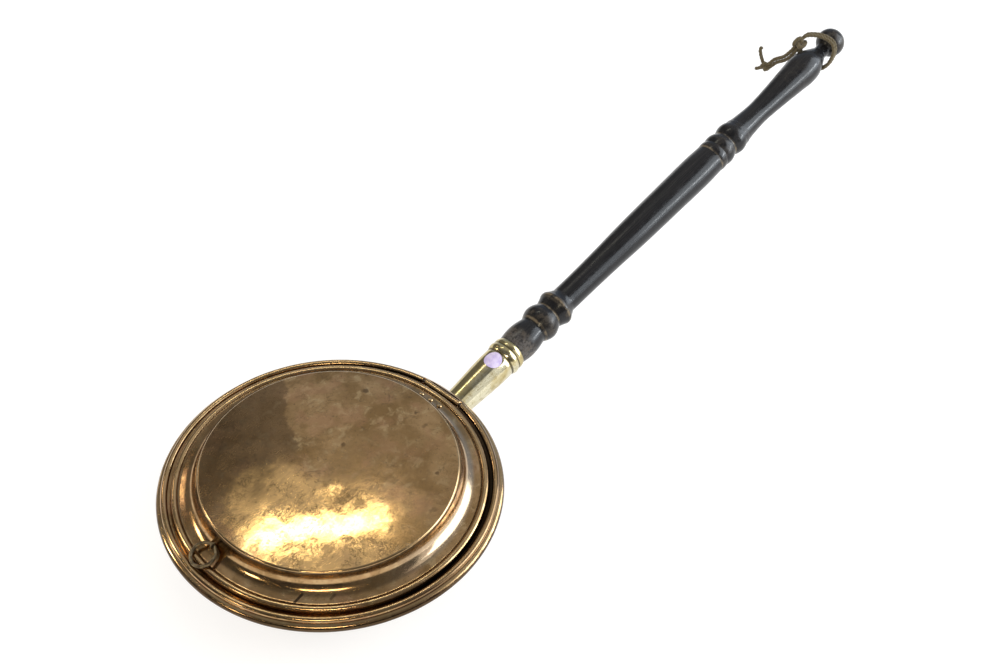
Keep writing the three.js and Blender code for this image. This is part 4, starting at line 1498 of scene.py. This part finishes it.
def make_floor():
    """A pale floor that keeps shadows, and glows a little for the camera and for gloss."""
    work = bmesh.new()
    bmesh.ops.create_grid(work, x_segments=1, y_segments=1, size=FLOOR_REACH)
    mesh = bpy.data.meshes.new("studio_floor")
    work.to_mesh(mesh)
    work.free()
    floor = added("studio_floor", mesh)
    floor.location.z = -FLOOR_DROP
    m = Finish("studio_floor", 0.0, specular=0.1)
    m.colour, m.rough = FLOOR_GREY, 0.9
    glow = m.add("ShaderNodeEmission")
    glow.inputs["Strength"].default_value = FLOOR_GLOW
    ray = m.add("ShaderNodeLightPath").outputs
    seen = m.either(ray["Is Camera Ray"], ray["Is Glossy Ray"], ray["Is Transmission Ray"])
    mix = m.add("ShaderNodeMixShader")
    m.wire(m.times(seen, FLOOR_GLOW_SHARE), mix.inputs[0])
    m.wire(m.shader.outputs[0], mix.inputs[1])
    m.wire(glow.outputs[0], mix.inputs[2])
    m.wire(mix.outputs[0], m.tree.nodes["Material Output"].inputs[0])
    mesh.materials.append(m.finish())
    floor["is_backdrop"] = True


VIEW_TURN = math.radians(222)
WORLD_FILL = 0.66
WORLD_FAR = 0.5
WORLD_NEAR = 0.16
DARK_WALL_TURN = math.radians(57)
DARK_WALL = 0.4
COOL_SIDE = (0.68, 0.8, 1.0)


def make_world():
    """White where the camera looks; in gloss white at the horizon and greys of a room above."""
    world = bpy.data.worlds.new("studio")
    bpy.context.scene.world = world
    m = Nodes(world)
    background = m.tree.nodes["Background"]
    place = m.add("ShaderNodeTexCoord").outputs["Generated"]
    rise = m.vector("DOT_PRODUCT", place, (0, 0, 1))

    def towards(turn):
        return m.vector("DOT_PRODUCT", place, (math.cos(turn), math.sin(turn), 0))

    above = m.spread(towards(VIEW_TURN), -0.45, 0.3, WORLD_FAR, WORLD_NEAR)
    low = m.spread(rise, 0.74, 0.83, DARK_WALL, 1.0)
    wall = m.spread(towards(DARK_WALL_TURN + math.pi / 2), -0.02, 0.07, 1.0, low)
    mirrored = m.spread(rise, 0.0, 0.05, 1.0, m.times(above, wall))
    ray = m.add("ShaderNodeLightPath").outputs
    strength = m.choose(ray["Is Glossy Ray"], WORLD_FILL, mirrored)
    strength = m.choose(ray["Is Transmission Ray"], strength, 1.0)
    strength = m.choose(ray["Is Camera Ray"], strength, 1.0)
    m.wire(strength, background.inputs["Strength"])
    low_side = m.times(m.spread(rise, 0.45, 0.65, 1.0, 0.0), m.spread(towards(0.0), 0.35, 0.75))
    tint = m.blend(m.times(low_side, ray["Is Glossy Ray"]), (1, 1, 1), COOL_SIDE)
    m.wire(tint, background.inputs["Color"])


# Aims and lamp distances are in metres.
PAN_AIM = Vector((0.0, 0.0, 0.06))
SOCKET_AIM = Vector((0.18, 0.0, 0.04))
HANDLE_AIM = Vector((0.4, 0.0, 0.08))


def make_lamp(name, turn, height, distance, width, tall, power, colour, aim=PAN_AIM):
    """An area lamp at a direction in degrees, aimed at the part."""
    a, e = math.radians(turn), math.radians(height)
    way = Vector((math.cos(e) * math.cos(a), math.cos(e) * math.sin(a), math.sin(e)))
    data = bpy.data.lights.new(name, "AREA")
    data.shape = "RECTANGLE"
    data.size = width
    data.size_y = tall
    data.energy = power
    data.color = colour
    lamp = added(name, data)
    lamp.visible_camera = False
    lamp.location = aim + way * distance
    lamp.rotation_euler = (-way).to_track_quat("-Z", "Y").to_euler()


def make_lamps():
    make_lamp("window_high", 56, 62.2, 2.6, 0.95, 0.15, 3.4, (1.0, 0.96, 0.76))
    make_lamp("window_tall", -36, 19, 2.6, 2.3, 1.95, 56, (0.86, 0.93, 1.0))
    make_lamp("window_near", -76, 27, 1.0, 0.32, 1.06, 0.75, (1.0, 1.0, 1.0), SOCKET_AIM)
    make_lamp("window_strip", -48, 14, 2.6, 1.3, 0.3, 17, (0.93, 0.97, 1.0), HANDLE_AIM)
    make_lamp("lamp_front", 217, 40, 2.4, 1.05, 0.15, 11, (1.0, 0.86, 0.6))
    make_lamp("lamp_left", 119, 28, 2.4, 0.26, 0.6, 8, (1.0, 0.86, 0.64))
    make_lamp("lamp_corner", 168, 27, 2.4, 0.34, 0.26, 5, (1.0, 0.86, 0.6))
    make_lamp("lamp_side", 88, 34, 2.4, 0.2, 0.3, 0.8, (1.0, 0.82, 0.6))


# ---- Assembly ----


def put_together():
    make_twine(hemp())
    pan_metal, lid_metal, fittings = pan_copper(), lid_copper(), small_copper()
    ring_metal, iron = ring_brass(), dark_iron()
    make_pan(pan_metal)
    make_lid(lid_metal)
    make_hinge_strap(fittings)
    make_hinge_rivets(fittings)
    make_staple(ring_metal)
    make_ring(ring_metal)
    make_socket(socket_brass())
    make_flange_rivets(fittings)
    make_handle(ebonised_wood())
    make_pin(iron)
    make_sticker(bare_paper())
    for name in ("rim_wire", "lid_wire"):
        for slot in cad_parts[name].material_slots:
            slot.material = iron
    make_floor()
    make_world()
    make_lamps()


put_together()
bpy.context.scene.view_settings.view_transform = "Standard"
sizes = {"cad": cad_box, "visual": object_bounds()}
json.dumps({key: [list(p) for p in box] for key, box in sizes.items()})
